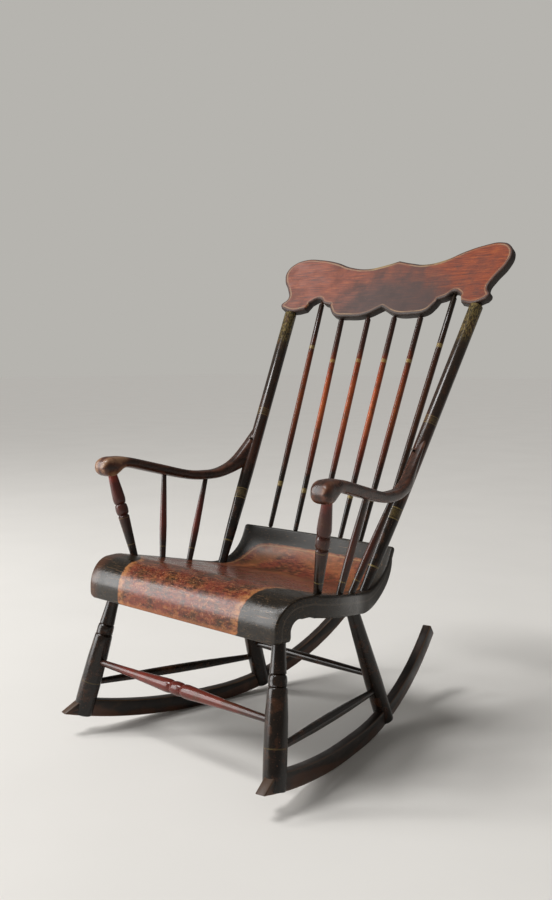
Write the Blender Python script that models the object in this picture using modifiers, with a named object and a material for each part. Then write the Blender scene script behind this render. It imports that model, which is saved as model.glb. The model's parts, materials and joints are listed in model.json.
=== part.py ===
"""A painted Boston rocking chair: a rolled plank seat on four turned legs and two rockers, six back
spindles and two posts under a scrolled crest, and two scrolled arms on turned posts and spindles.

Metres, +Z up. The chair faces -Y, and y = 0 is where the rockers would touch the floor if they were
plain arcs. When everything is made, the chair is moved so that the origin is under the middle of it.
"""
from math import atan2, cos, pi, radians, sin, sqrt, tan

import bmesh
import bpy
from mathutils import Matrix, Vector

# Joints
CLEARANCE = 0.0003             # gap round every tenon, dowel and glued face
SOCKET_OVERRUN = 0.014         # how far a drilled hole's line runs out past the surface it starts in
LATHE_SIDES = 16
THIN_LATHE_SIDES = 12
THIN_RADIUS = 0.0075           # holes under this radius have the thin number of sides
STRAIGHT_NECK = 0.003          # a turned tenon stays straight this far outside its socket
LATHE_MERGE = 0.00005
MERGE_DISTANCE = 0.00001
SHARP_ANGLE = radians(35)

# Seat: a flat plank that falls to the rear, a roll that turns down in front, a roll that turns up behind
SEAT_PITCH = radians(11.3)
SEAT_FRONT_HEIGHT = 0.376      # top of the plank at its front edge
SEAT_FRONT_Y = -0.105          # front edge of the plank
SEAT_THICKNESS = 0.043
PLANK_RUN = 0.190              # front to rear along the plank
FRONT_CROWN_RADIUS = 0.103     # the seat's top levels out over this radius in front of the plank
FRONT_CROWN_FLAT = 0.020       # level stretch between the crown and the front roll
FRONT_ROLL_RADIUS = 0.058      # outside of the front roll
FRONT_LIP_DROP = 0.0225        # straight lip below the front roll
FRONT_LIP_THICKNESS = 0.033
REAR_FLAT_RUN = 0.024          # flat behind the plank's rear edge, at the seat's ends
REAR_ROLL_RADIUS = 0.095       # inside of the rear roll
REAR_ROLL_TURN = radians(78)
REAR_ROLL_RISE = 0.023         # straight above the rear roll's curve
REAR_RIM_THICKNESS = 0.014
REAR_BOW = 0.052               # how far the rear roll bows back in the middle
SEAT_HALF_FRONT = 0.270
SEAT_HALF_ARMS = 0.288         # the seat is widest at the arm posts
SEAT_HALF_REAR = 0.218
SEAT_WIDEST_Y = -0.090
SEAT_END_ROUNDING = 0.006
SEAT_DOWEL_RADIUS = 0.005
SEAT_DOWEL_LENGTH = 0.044
SEAT_DOWEL_X = 0.140
PLANK_STEPS = 6                # points along the plank, the two rolls and the rear roll's bow
FRONT_CROWN_STEPS = 2
FRONT_ROLL_STEPS = 8
REAR_ROLL_STEPS = 8
REAR_BOW_STEPS = 8

# Back posts
POST_FOOT_INSET = 0.0173       # from the seat's end
POST_FOOT_Y = 0.135
POST_RAKE = radians(28.0)
POST_SPLAY = radians(6.2)
POST_HEIGHT = 0.592            # from the seat to the crest's underside
POST_FOOT_RADIUS = 0.0098
POST_RADIUS = 0.0150
POST_SEAT_DEPTH = 0.018
POST_TENON_RADIUS = 0.0070
POST_TENON_LENGTH = 0.030
POST_CREST_REBATE = 0.006      # the crest's lobe is cut this deep over the post's shoulder
POST_SHAPE = ((0.12, 0.45), (0.25, 0.85), (0.37, 1.0))  # (share of length, share of the swell)

# Crest
CREST_THICKNESS = 0.020
CREST_RAKE = radians(32.5)
CREST_BOW = 0.0394             # how far the crest's ends come forward of its middle
CREST_CURVE_STEPS = 2
CREST_SLICES = 8
# Half outline of the crest (across, up), from the notch under its middle round to the peak on top.
# A sharp point ends one sawn curve and starts the next.
CREST_OUTLINE = (
    (0.000, 0.004, "sharp"), (0.045, -0.017, "smooth"), (0.095, -0.020, "smooth"),
    (0.138, -0.013, "smooth"), (0.155, 0.006, "sharp"), (0.160, 0.018, "sharp"),
    (0.181, 0.024, "smooth"), (0.200, 0.038, "smooth"), (0.222, 0.027, "sharp"),
    (0.231, 0.007, "sharp"), (0.264, 0.001, "smooth"), (0.300, 0.012, "sharp"),
    (0.306, 0.023, "smooth"), (0.294, 0.042, "smooth"), (0.304, 0.068, "smooth"),
    (0.325, 0.100, "smooth"), (0.331, 0.130, "smooth"), (0.317, 0.154, "smooth"),
    (0.288, 0.166, "smooth"), (0.240, 0.163, "smooth"), (0.190, 0.151, "smooth"),
    (0.140, 0.132, "smooth"), (0.085, 0.124, "smooth"), (0.040, 0.131, "smooth"),
    (0.000, 0.141, "sharp"),
)
CREST_LOWER_POINTS = 12        # the outline's first points, along its lower edge
CREST_HALF_WIDTH = max(across for across, up, kind in CREST_OUTLINE)

# Back spindles
SPINDLES_PER_SIDE = 3
SPINDLE_FOOT_SPACING = 0.0645
SPINDLE_TOP_SPACING = 0.0790
SPINDLE_TENON_RADIUS = 0.0036
SPINDLE_FOOT_RADIUS = 0.0055
SPINDLE_RADIUS = 0.0076
SPINDLE_TOP_RADIUS = 0.0066
SPINDLE_CREST_TENON_RADIUS = 0.0046
SPINDLE_CREST_NECK = 0.006     # the tenon shows this far below the crest's scrolled edge
SPINDLE_SEAT_DEPTH = 0.022
SPINDLE_CREST_DEPTH = 0.020
SPINDLE_FLARE = 0.002          # a spindle widens over this length beside each tenon
SPINDLE_SWELL_AT = 0.40        # share of the way up where a spindle is thickest

# Arms: stations run from the rolled knuckle in front (along = 0 at the arm post) to the back post
ARM_POST_INSET = 0.022         # from the seat's end to the arm post's foot
ARM_POST_FOOT_Y = -0.084
ARM_POST_SPREAD = 0.042        # how far out and forward the arm post leans
ARM_POST_LEAN = 0.024
ARM_HEIGHT = 0.591             # top of the knuckle
ARM_DEPTH = 0.043              # the knuckle, top to bottom
ARM_HALF_WIDTH = 0.0235
ARM_LOW_POINT = 0.046          # how far the arm dips below its knuckle
ARM_END_DROP = 0.038           # where the arm's end meets the back post: its lower edge below the
ARM_END_RISE = 0.064           # knuckle's top, and its upper edge above it
ARM_END_HALF_WIDTH = 0.0115
ARM_END_INSET = 0.004          # the arm's end stops this far in front of the post's axis
ARM_OUTWARD_CURVE = 0.008
ARM_CORNER = 0.40              # share of the arm's half depth or width taken by its rounded corners
ARM_RINGS_PER_STATION = 2
# Shares: along the arm, then dip of its top, depth and half width, as shares of the three sizes above
ARM_STATIONS = (
    (-0.084, 0.40, 0.24, 0.62), (-0.075, 0.20, 0.64, 0.84), (-0.055, 0.06, 0.92, 0.97),
    (-0.030, 0.00, 1.00, 1.00), (-0.008, 0.00, 1.00, 1.00), (0.018, 0.00, 0.84, 0.99),
    (0.045, 0.01, 0.65, 0.97), (0.075, 0.05, 0.57, 0.92), (0.140, 0.16, 0.56, 0.82),
    (0.320, 0.55, 0.56, 0.70), (0.500, 0.94, 0.52, 0.66), (0.620, 1.05, 0.51, 0.64),
    (0.740, 0.96, 0.54, 0.62), (0.860, 0.36, 0.86, 0.57),
)
ARM_POST_FOOT_RADIUS = 0.0080
ARM_POST_RADIUS = 0.0124
ARM_POST_TOP_RADIUS = 0.0102
ARM_POST_DEPTH = 0.020
# (share of the height from the seat, share of the post's radius): two rings above the middle
ARM_POST_SHAPE = (
    (0.350, 0.90), (0.500, 1.00), (0.525, 0.90), (0.550, 1.13), (0.575, 0.94), (0.605, 1.13),
    (0.635, 1.00), (0.700, 1.13),
)
ARM_SPINDLE_INSETS = (0.0166, 0.0150)  # from the seat's end to each spindle's foot
ARM_SPINDLE_FEET_Y = (-0.008, 0.056)
ARM_SPINDLE_TOPS = (0.350, 0.640)      # share of the way from the arm post to the back post
ARM_SPINDLE_FOOT_RADIUS = 0.0068
ARM_SPINDLE_RADIUS = 0.0082
ARM_SPINDLE_TOP_RADIUS = 0.0056
ARM_SPINDLE_SEAT_DEPTH = 0.020
ARM_SPINDLE_ARM_DEPTH = 0.012
ARM_SPINDLE_SWELL_AT = 0.40
ARM_SCREW_RADIUS = 0.0030
ARM_SCREW_IN_POST = 0.012
ARM_SCREW_IN_ARM = 0.010

# Rockers, which toe in towards the rear
ROCKER_THICKNESS = 0.021
ROCKER_MIDDLE_X = 0.2343
ROCKER_TOE_IN = radians(11.67)
ROCKER_FLAT_START = 0.072      # the worn flat that the chair rests on
ROCKER_FLAT_LENGTH = 0.044
ROCKER_FRONT_RADIUS = 1.144
ROCKER_REAR_RADIUS = 0.612
ROCKER_FRONT_REACH = 0.2714    # beak tip, in front of y = 0
ROCKER_REAR_REACH = 0.514      # lower corner of the tail, behind y = 0
ROCKER_FRONT_DEPTH = 0.037
ROCKER_TAIL_DEPTH = 0.031
ROCKER_BEAK_SLOPE = 0.0345     # the beak's end is sawn back this far along the underside
ROCKER_NOSE_SHARE = 0.12       # of the sawn end, left upright as a blunt nose
ROCKER_STATIONS = 12           # facets on each of the two curves

# Legs
FRONT_LEG_INSET = 0.0415       # from the seat's end to the leg's axis, at the lip's lower edge
FRONT_LEG_TOP_Y = -0.1606      # the leg's axis there, partly behind the lip
FRONT_LEG_SEAT_DEPTH = 0.058   # the leg goes up behind the lip and into the roll above
FRONT_LEG_FOOT_Y = -0.2215
FRONT_LEG_FOOT_RADIUS = 0.0220
FRONT_LEG_TOP_RADIUS = 0.0130
# (share of the length from the foot, share of the foot's radius): two rings below the seat
FRONT_LEG_SHAPE = (
    (0.000, 0.96), (0.241, 1.00), (0.460, 0.96), (0.611, 0.87), (0.673, 0.79), (0.688, 0.71),
    (0.709, 0.81), (0.730, 0.69), (0.752, 0.78), (0.770, 0.67),
)
REAR_LEG_INSET = 0.0586
REAR_LEG_TOP_Y = 0.150
REAR_LEG_FOOT_Y = 0.243
REAR_LEG_FOOT_RADIUS = 0.0195
REAR_LEG_TOP_RADIUS = 0.0140
REAR_LEG_SHAPE = ((0.000, 1.00), (0.350, 1.00), (0.650, 0.87))
REAR_LEG_SEAT_DEPTH = 0.018
LEG_FOOT_RAISE = 0.003         # the leg's cheeks stop this far above the rocker's underside
ROCKER_PEG_RADIUS = 0.0040
ROCKER_PEG_SHORT = 0.003       # the peg's ends lie this far inside the leg

# Stretchers
FRONT_STRETCHER_HEIGHT = 0.156
SIDE_STRETCHER_FRONT_HEIGHT = 0.109
SIDE_STRETCHER_REAR_HEIGHT = 0.090
REAR_STRETCHER_HEIGHT = 0.126
STRETCHER_END_RADIUS = 0.0068
STRETCHER_SETBACK = 0.006      # a stretcher's end stops this far from the leg's axis
FRONT_STRETCHER_RADIUS = 0.0140
FRONT_STRETCHER_BEAD_HALF = 0.0155
FRONT_STRETCHER_SLIM = 0.82    # the grooves beside the bead, as a share of the radius
PLAIN_STRETCHER_SHAPE = ((0.32, 0.95), (0.50, 1.00), (0.68, 0.95))
SIDE_STRETCHER_RADIUS = 0.0100
REAR_STRETCHER_RADIUS = 0.0088

for old in list(bpy.data.objects):
    bpy.data.objects.remove(old, do_unlink=True)

chair_parts = bpy.data.collections.new("boston_rocking_chair")
cutter_parts = bpy.data.collections.new("cutters")
bpy.context.scene.collection.children.link(chair_parts)
bpy.context.scene.collection.children.link(cutter_parts)
chair = bpy.data.objects.new("chair_stance", None)
chair_parts.objects.link(chair)


# Finishes
def paint(name, colour, roughness):
    """A paint or bare finish as a Principled material."""
    finish = bpy.data.materials.new(name)
    finish.use_nodes = True
    shader = finish.node_tree.nodes["Principled BSDF"]
    shader.inputs["Base Color"].default_value = (*colour, 1.0)
    shader.inputs["Roughness"].default_value = roughness
    shader.inputs["Metallic"].default_value = 0.0
    return finish


BLACK_PAINT = paint("black_brown_paint", (0.018, 0.014, 0.011), 0.35)
RED_PAINT = paint("red_grain_paint", (0.130, 0.026, 0.014), 0.35)
CREST_PAINT = paint("smoked_red_crest_paint", (0.110, 0.030, 0.018), 0.40)
SEAT_PAINT = paint("worn_seat_paint", (0.105, 0.038, 0.022), 0.38)
ARM_PAINT = paint("worn_brown_arm_paint", (0.055, 0.024, 0.015), 0.38)
BARE_WOOD = paint("bare_maple", (0.330, 0.200, 0.100), 0.60)
SCREW_IRON = paint("dark_iron", (0.050, 0.045, 0.042), 0.50)


# Making and placing pieces
def add_piece(name, mesh, finish):
    """One named part of the chair, carried by the chair's stance."""
    piece = bpy.data.objects.new(name, mesh)
    mesh.materials.append(finish)
    chair_parts.objects.link(piece)
    piece.parent = chair
    return piece


def add_cutter(name, mesh):
    """A shape that is only taken away from parts."""
    cutter = bpy.data.objects.new(name, mesh)
    cutter_parts.objects.link(cutter)
    cutter.parent = chair
    cutter.hide_render = True
    cutter.display_type = 'WIRE'
    return cutter


def cut(piece, cutter):
    """Take a cutter away from a piece."""
    boolean = piece.modifiers.new(cutter.name, 'BOOLEAN')
    boolean.operation = 'DIFFERENCE'
    boolean.solver = 'EXACT'
    boolean.object = cutter


def shade_round(mesh):
    """Smooth shading that keeps real corners crisp."""
    mesh.shade_smooth()
    mesh.set_sharp_from_angle(angle=SHARP_ANGLE)


def turned(name, outline, start, end, finish, sides):
    """A lathe-turned piece from start to end; outline gives (distance from start, radius)."""
    outer = [(radius, 0.0, reach) for reach, radius in reversed(outline)]
    points = [(0.0, 0.0, outline[-1][0]), *outer, (0.0, 0.0, outline[0][0])]
    mesh = bpy.data.meshes.new(name)
    mesh.from_pydata(points, [(i, i + 1) for i in range(len(points) - 1)], [])
    piece = add_piece(name, mesh, finish)
    piece.matrix_local = along(start, end)
    lathe = piece.modifiers.new("lathe", 'SCREW')
    lathe.axis = 'Z'
    lathe.angle = 2.0 * pi
    lathe.steps = sides
    lathe.render_steps = sides
    lathe.use_merge_vertices = True
    lathe.merge_threshold = LATHE_MERGE
    lathe.use_smooth_shade = True
    return piece


def along(start, end):
    """The placing that puts a piece's own +Z axis on the line from start to end."""
    return Matrix.Translation(start) @ (end - start).to_track_quat('Z', 'Y').to_matrix().to_4x4()


def face_outwards(bm):
    """Turn every face of a closed body outwards."""
    bmesh.ops.recalc_face_normals(bm, faces=bm.faces)
    if bm.calc_volume(signed=True) < 0.0:
        bmesh.ops.reverse_faces(bm, faces=bm.faces)


def rounded_end(bm, faces, width):
    """Mark the rim of end faces for the bevel that follows."""
    weight = bm.edges.layers.float.new("bevel_weight_edge")
    for face in faces:
        for edge in face.edges:
            edge[weight] = 1.0 if width else 0.0


def loft(name, rings, finish, end_rounding=0.0):
    """A solid skinned over closed rings that have the same number of points."""
    bm = bmesh.new()
    loops = [[bm.verts.new(point) for point in ring] for ring in rings]
    count = len(rings[0])
    for near, far in zip(loops, loops[1:]):
        for i in range(count):
            bm.faces.new((near[i], near[(i + 1) % count], far[(i + 1) % count], far[i]))
    ends = [bm.faces.new(loops[0]), bm.faces.new(loops[-1])]
    rounded_end(bm, ends, end_rounding)
    face_outwards(bm)
    mesh = bpy.data.meshes.new(name)
    bm.to_mesh(mesh)
    bm.free()
    shade_round(mesh)
    if finish is None:
        return add_cutter(name, mesh)
    piece = add_piece(name, mesh, finish)
    if end_rounding:
        bevel = piece.modifiers.new("end_rounding", 'BEVEL')
        bevel.limit_method = 'WEIGHT'
        bevel.width = end_rounding
        bevel.segments = 1
    return piece


drilled = {}


def drill(piece, start, end, radius):
    """Ask for a round hole in a piece from start to end."""
    drilled.setdefault(piece.name, []).append((start, end, radius + CLEARANCE))


def socket(piece, tenon_end, way_out, depth, radius):
    """Ask for the socket that takes a tenon: way_out points from the tenon's end to the open air."""
    drill(piece, tenon_end - way_out * CLEARANCE, tenon_end + way_out * (depth + SOCKET_OVERRUN), radius)


def cut_holes():
    """Drill every hole that was asked for, one cutter for each piece."""
    for piece_name, holes in drilled.items():
        bm = bmesh.new()
        for start, end, radius in holes:
            half_way = along(start, end) @ Matrix.Translation((0.0, 0.0, (end - start).length / 2))
            sides = THIN_LATHE_SIDES if radius < THIN_RADIUS else LATHE_SIDES
            bmesh.ops.create_cone(bm, cap_ends=True, segments=sides, radius1=radius,
                                  radius2=radius, depth=(end - start).length, matrix=half_way)
        mesh = bpy.data.meshes.new(piece_name + "_holes")
        bm.to_mesh(mesh)
        bm.free()
        cut(bpy.data.objects[piece_name], add_cutter(piece_name + "_holes", mesh))


def mirrored(point, side):
    """A point of the right side, or its twin on the left."""
    return Vector((point[0] * side, point[1], point[2]))


SIDES = (("right", 1), ("left", -1))


# Seat
DOWN_SEAT = Vector((0.0, cos(SEAT_PITCH), -sin(SEAT_PITCH)))
SEAT_NORMAL = Vector((0.0, sin(SEAT_PITCH), cos(SEAT_PITCH)))
PLANK_FRONT = Vector((0.0, SEAT_FRONT_Y, SEAT_FRONT_HEIGHT))
CROWN_CENTRE = PLANK_FRONT - SEAT_NORMAL * FRONT_CROWN_RADIUS
ROLL_CENTRE = CROWN_CENTRE + Vector((0.0, -FRONT_CROWN_FLAT, FRONT_CROWN_RADIUS - FRONT_ROLL_RADIUS))
LIP_HEIGHT = ROLL_CENTRE.z - FRONT_LIP_DROP
LIP_FRONT_Y = ROLL_CENTRE.y - FRONT_ROLL_RADIUS
REAR_RUN = PLANK_RUN + REAR_FLAT_RUN
REAR_CORNER_Y = (PLANK_FRONT + DOWN_SEAT * (REAR_RUN + REAR_ROLL_RADIUS)).y


def seat_half_width(y):
    """Half the seat's width: widest at the arm posts, narrower to the front and much more to the rear."""
    if y < SEAT_WIDEST_Y:
        share = (SEAT_WIDEST_Y - y) / (SEAT_WIDEST_Y - LIP_FRONT_Y)
        return SEAT_HALF_ARMS - (SEAT_HALF_ARMS - SEAT_HALF_FRONT) * share ** 2
    share = min(1.0, (y - SEAT_WIDEST_Y) / (REAR_CORNER_Y - SEAT_WIDEST_Y))
    return SEAT_HALF_ARMS - (SEAT_HALF_ARMS - SEAT_HALF_REAR) * share ** 2 * (3 - 2 * share)


def inside_end(y, inset):
    """The place across the seat that lies a little inside its end, at y."""
    return seat_half_width(y) - inset


def seat_ring(profile, across):
    """A side-view profile set at a share of the way from the seat's middle to its end."""
    return [Vector((across * seat_half_width(point.y), point.y, point.z)) for point in profile]


def seat_top(x, y):
    """The point on the flat of the seat at x and y."""
    return Vector((x, y, SEAT_FRONT_HEIGHT - (y - SEAT_FRONT_Y) * tan(SEAT_PITCH)))


def seat_underside(x, y):
    """The point under the flat of the seat at x and y."""
    return seat_top(x, y) - Vector((0.0, 0.0, SEAT_THICKNESS / cos(SEAT_PITCH)))


def plank_profile():
    """The plank in side view, with points along it for its shaped ends."""
    top = [PLANK_FRONT + DOWN_SEAT * (CLEARANCE / 2 + (PLANK_RUN - CLEARANCE) * i / PLANK_STEPS)
           for i in range(PLANK_STEPS + 1)]
    return top + [point - SEAT_NORMAL * SEAT_THICKNESS for point in reversed(top)]


def front_roll_profile():
    """The front roll in side view: a flat crown, a round roll and a straight lip, hollow underneath."""
    joint = DOWN_SEAT * (CLEARANCE / 2)
    turns = [(CROWN_CENTRE, FRONT_CROWN_RADIUS, -SEAT_PITCH * (1 - i / FRONT_CROWN_STEPS))
             for i in range(FRONT_CROWN_STEPS + 1)]
    turns += [(ROLL_CENTRE, FRONT_ROLL_RADIUS, pi / 2 * i / FRONT_ROLL_STEPS)
              for i in range(FRONT_ROLL_STEPS + 1)]
    outer = []
    inner = []
    for centre, radius, turn in turns:
        spoke = Vector((0.0, -sin(turn), cos(turn)))
        share = (turn + SEAT_PITCH) / (pi / 2 + SEAT_PITCH)
        thickness = SEAT_THICKNESS + (FRONT_LIP_THICKNESS - SEAT_THICKNESS) * sqrt(share)
        outer.append(centre + spoke * radius)
        inner.append(centre + spoke * (radius - thickness))
    outer[0] -= joint
    inner[0] -= joint
    lip = Vector((0.0, 0.0, -FRONT_LIP_DROP))
    return outer + [outer[-1] + lip, inner[-1] + lip] + list(reversed(inner))


def rear_roll_profile(across):
    """The rear roll in side view at a share of the way out from the seat's middle."""
    bowed = REAR_RUN + REAR_BOW * (1.0 - across ** 2)
    start = PLANK_FRONT + DOWN_SEAT * (PLANK_RUN + CLEARANCE / 2)
    centre = PLANK_FRONT + DOWN_SEAT * bowed + SEAT_NORMAL * REAR_ROLL_RADIUS
    inner = [start]
    outer = [start - SEAT_NORMAL * SEAT_THICKNESS]
    for i in range(REAR_ROLL_STEPS + 1):
        share = i / REAR_ROLL_STEPS
        angle = REAR_ROLL_TURN * share - SEAT_PITCH
        spoke = Vector((0.0, sin(angle), -cos(angle)))
        thickness = SEAT_THICKNESS - (SEAT_THICKNESS - REAR_RIM_THICKNESS) * share ** 2
        inner.append(centre + spoke * REAR_ROLL_RADIUS)
        outer.append(centre + spoke * (REAR_ROLL_RADIUS + thickness))
    lean = REAR_ROLL_TURN - SEAT_PITCH
    rise = Vector((0.0, cos(lean), sin(lean))) * REAR_ROLL_RISE
    inner.append(inner[-1] + rise)
    outer.append(outer[-1] + rise)
    return inner + list(reversed(outer))


def rear_rim(x):
    """The middle of the rear roll's top edge at x."""
    across = min(1.0, abs(x) / SEAT_HALF_REAR)
    profile = rear_roll_profile(across)
    middle = len(profile) // 2
    rim = (profile[middle - 1] + profile[middle]) / 2
    return Vector((x, rim.y, rim.z))


def rear_roll_top(x, y):
    """The point on the rear roll's upper surface at x and y."""
    profile = rear_roll_profile(min(1.0, abs(x) / seat_half_width(y)))
    surface = profile[:len(profile) // 2]
    for near, far in zip(surface, surface[1:]):
        if near.y <= y <= far.y:
            return Vector((x, y, near.z + (far.z - near.z) * (y - near.y) / (far.y - near.y)))
    return rear_rim(x)


def build_seat():
    """Plank, front roll and rear roll, doweled edge to edge."""
    plank = plank_profile()
    seat_plank = loft("seat_plank", [seat_ring(plank, across) for across in (-1.0, 1.0)], SEAT_PAINT,
                      SEAT_END_ROUNDING)
    roll = front_roll_profile()
    front_roll = loft("seat_front_roll", [seat_ring(roll, across) for across in (-1.0, 1.0)], SEAT_PAINT,
                      SEAT_END_ROUNDING)
    shares = [2.0 * i / REAR_BOW_STEPS - 1.0 for i in range(REAR_BOW_STEPS + 1)]
    rear_roll = loft("seat_rear_roll", [seat_ring(rear_roll_profile(across), across) for across in shares],
                     SEAT_PAINT, SEAT_END_ROUNDING)
    for row, run, in_front in (("front", 0.0, front_roll), ("rear", PLANK_RUN, rear_roll)):
        for side_name, side in SIDES:
            middle = PLANK_FRONT + DOWN_SEAT * run - SEAT_NORMAL * (SEAT_THICKNESS / 2)
            middle.x = SEAT_DOWEL_X * side
            start = middle - DOWN_SEAT * (SEAT_DOWEL_LENGTH / 2)
            end = middle + DOWN_SEAT * (SEAT_DOWEL_LENGTH / 2)
            outline = ((0.0, SEAT_DOWEL_RADIUS), (SEAT_DOWEL_LENGTH, SEAT_DOWEL_RADIUS))
            turned(f"seat_{row}_dowel_{side_name}", outline, start, end, BARE_WOOD, THIN_LATHE_SIDES)
            for wood in (seat_plank, in_front):
                drill(wood, start - DOWN_SEAT * CLEARANCE, end + DOWN_SEAT * CLEARANCE, SEAT_DOWEL_RADIUS)
    return seat_plank, front_roll, rear_roll


# Back posts, crest and spindles
POST_WAY = Vector((tan(POST_SPLAY), tan(POST_RAKE), 1.0)).normalized()
POST_FOOT = rear_roll_top(inside_end(POST_FOOT_Y, POST_FOOT_INSET), POST_FOOT_Y)
POST_LENGTH = POST_HEIGHT / POST_WAY.z
POST_TOP = POST_FOOT + POST_WAY * POST_LENGTH
CREST_UP = Vector((0.0, sin(CREST_RAKE), cos(CREST_RAKE)))
CREST_BACK = Vector((0.0, cos(CREST_RAKE), -sin(CREST_RAKE)))


def crest_bow(across):
    """How far the crest comes forward of its middle at a place across it."""
    return CREST_BOW * (across / CREST_HALF_WIDTH) ** 2


CREST_BASE = Vector((0.0, POST_TOP.y + crest_bow(POST_TOP.x), POST_TOP.z))


def crest_point(across, up, back=0.0):
    """A point of the bowed crest: across and up its face, back from the middle of its thickness."""
    bowed = Vector((across, -crest_bow(across), 0.0))
    return CREST_BASE + bowed + CREST_UP * up + CREST_BACK * back


def crest_lower_edge(across):
    """How far up the crest's lower edge lies, between the outline's points."""
    lower = CREST_OUTLINE[:CREST_LOWER_POINTS]
    for near, far in zip(lower, lower[1:]):
        if near[0] <= across <= far[0]:
            return near[1] + (far[1] - near[1]) * (across - near[0]) / (far[0] - near[0])
    return lower[-1][1]


def build_crest():
    """The crest: a sawn outline, sliced upright so that the board can be bent to its bow."""
    whole = list(CREST_OUTLINE) + [(-x, up, kind) for x, up, kind in reversed(CREST_OUTLINE[1:-1])]
    curve = bpy.data.curves.new("crest_outline", 'CURVE')
    curve.dimensions = '2D'
    curve.fill_mode = 'BOTH'
    curve.extrude = CREST_THICKNESS / 2
    curve.resolution_u = CREST_CURVE_STEPS
    curve.render_resolution_u = CREST_CURVE_STEPS
    spline = curve.splines.new('BEZIER')
    spline.use_cyclic_u = True
    spline.bezier_points.add(len(whole) - 1)
    for knot, (x, up, kind) in zip(spline.bezier_points, whole):
        knot.co = (x, up, 0.0)
        handle = 'AUTO' if kind == "smooth" else 'VECTOR'
        knot.handle_left_type = handle
        knot.handle_right_type = handle
    board = bpy.data.objects.new("crest_board", curve)
    cutter_parts.objects.link(board)
    bpy.context.view_layer.update()
    mesh = bpy.data.meshes.new_from_object(board.evaluated_get(bpy.context.evaluated_depsgraph_get()))
    bpy.data.objects.remove(board, do_unlink=True)
    bm = bmesh.new()
    bm.from_mesh(mesh)
    bmesh.ops.remove_doubles(bm, verts=bm.verts, dist=MERGE_DISTANCE)
    for i in range(1, CREST_SLICES):
        across = CREST_HALF_WIDTH * (2 * i / CREST_SLICES - 1)
        bmesh.ops.bisect_plane(bm, geom=bm.verts[:] + bm.edges[:] + bm.faces[:], dist=MERGE_DISTANCE,
                               plane_co=(across, 0.0, 0.0), plane_no=(1, 0, 0))
    for vert in bm.verts:
        vert.co = crest_point(vert.co.x, vert.co.y, -vert.co.z)
    face_outwards(bm)
    bm.to_mesh(mesh)
    bm.free()
    mesh.name = "crest"
    mesh.materials.clear()
    shade_round(mesh)
    return add_piece("crest", mesh, CREST_PAINT)


def build_posts(rear_roll, crest):
    """The two posts, socketed in the rear roll, with a shoulder and tenon in the crest's outer lobes."""
    shoulder = POST_SEAT_DEPTH + POST_LENGTH + POST_CREST_REBATE
    outline = (
        (0.0, POST_FOOT_RADIUS), (POST_SEAT_DEPTH + SOCKET_OVERRUN, POST_FOOT_RADIUS),
        *((share * shoulder, POST_FOOT_RADIUS + swell * (POST_RADIUS - POST_FOOT_RADIUS))
          for share, swell in POST_SHAPE),
        (shoulder, POST_RADIUS), (shoulder, POST_TENON_RADIUS),
        (shoulder + POST_TENON_LENGTH, POST_TENON_RADIUS),
    )
    posts = {}
    for side_name, side in SIDES:
        way = mirrored(POST_WAY, side)
        start = mirrored(POST_FOOT, side) - way * POST_SEAT_DEPTH
        tenon_end = start + way * outline[-1][0]
        post = turned(f"back_post_{side_name}", outline, start, tenon_end, BLACK_PAINT, LATHE_SIDES)
        socket(rear_roll, start, way, POST_SEAT_DEPTH, POST_FOOT_RADIUS)
        socket(crest, tenon_end, -way, POST_TENON_LENGTH, POST_TENON_RADIUS)
        shoulder_end = start + way * (shoulder + CLEARANCE)
        cut(crest, post_room(f"crest_rebate_{side_name}", shoulder_end - way * POST_LENGTH / 4, shoulder_end))
        posts[side_name] = post
    return posts


def post_room(name, start, end):
    """The room that a post takes up between two points on its axis, with its clearance."""
    bm = bmesh.new()
    half_way = along(start, end) @ Matrix.Translation((0.0, 0.0, (end - start).length / 2))
    radius = POST_RADIUS + CLEARANCE
    bmesh.ops.create_cone(bm, cap_ends=True, segments=LATHE_SIDES, radius1=radius, radius2=radius,
                          depth=(end - start).length, matrix=half_way)
    mesh = bpy.data.meshes.new(name)
    bm.to_mesh(mesh)
    bm.free()
    return add_cutter(name, mesh)


def build_spindles(rear_roll, crest):
    """Six back spindles, from the rear roll's rim up into the crest's lower edge."""
    for i in range(2 * SPINDLES_PER_SIDE):
        place = i - SPINDLES_PER_SIDE + 0.5
        foot = rear_rim(place * SPINDLE_FOOT_SPACING)
        across = place * SPINDLE_TOP_SPACING
        tip = crest_point(across, crest_lower_edge(abs(across)) + SPINDLE_CREST_DEPTH)
        way = (tip - foot).normalized()
        start = foot - way * SPINDLE_SEAT_DEPTH
        length = (tip - start).length
        neck = SPINDLE_SEAT_DEPTH + STRAIGHT_NECK
        shoulder = length - SPINDLE_CREST_DEPTH - SPINDLE_CREST_NECK
        outline = (
            (0.0, SPINDLE_TENON_RADIUS), (neck - SPINDLE_FLARE, SPINDLE_TENON_RADIUS),
            (neck, SPINDLE_FOOT_RADIUS),
            (SPINDLE_SWELL_AT * length / 2, (SPINDLE_FOOT_RADIUS + SPINDLE_RADIUS) / 2),
            (SPINDLE_SWELL_AT * length, SPINDLE_RADIUS),
            ((1 + SPINDLE_SWELL_AT) * length / 2, (SPINDLE_TOP_RADIUS + SPINDLE_RADIUS) / 2),
            (shoulder - SPINDLE_FLARE, SPINDLE_TOP_RADIUS), (shoulder, SPINDLE_CREST_TENON_RADIUS),
            (length, SPINDLE_CREST_TENON_RADIUS),
        )
        turned(f"back_spindle_{i + 1}", outline, start, tip, RED_PAINT, THIN_LATHE_SIDES)
        socket(rear_roll, start, way, SPINDLE_SEAT_DEPTH, SPINDLE_TENON_RADIUS)
        socket(crest, tip, -way, SPINDLE_CREST_DEPTH, SPINDLE_CREST_TENON_RADIUS)


# Arms
def post_axis_at(height):
    """The point on the right post's axis at a height."""
    return POST_FOOT + POST_WAY * ((height - POST_FOOT.z) / POST_WAY.z)


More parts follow.
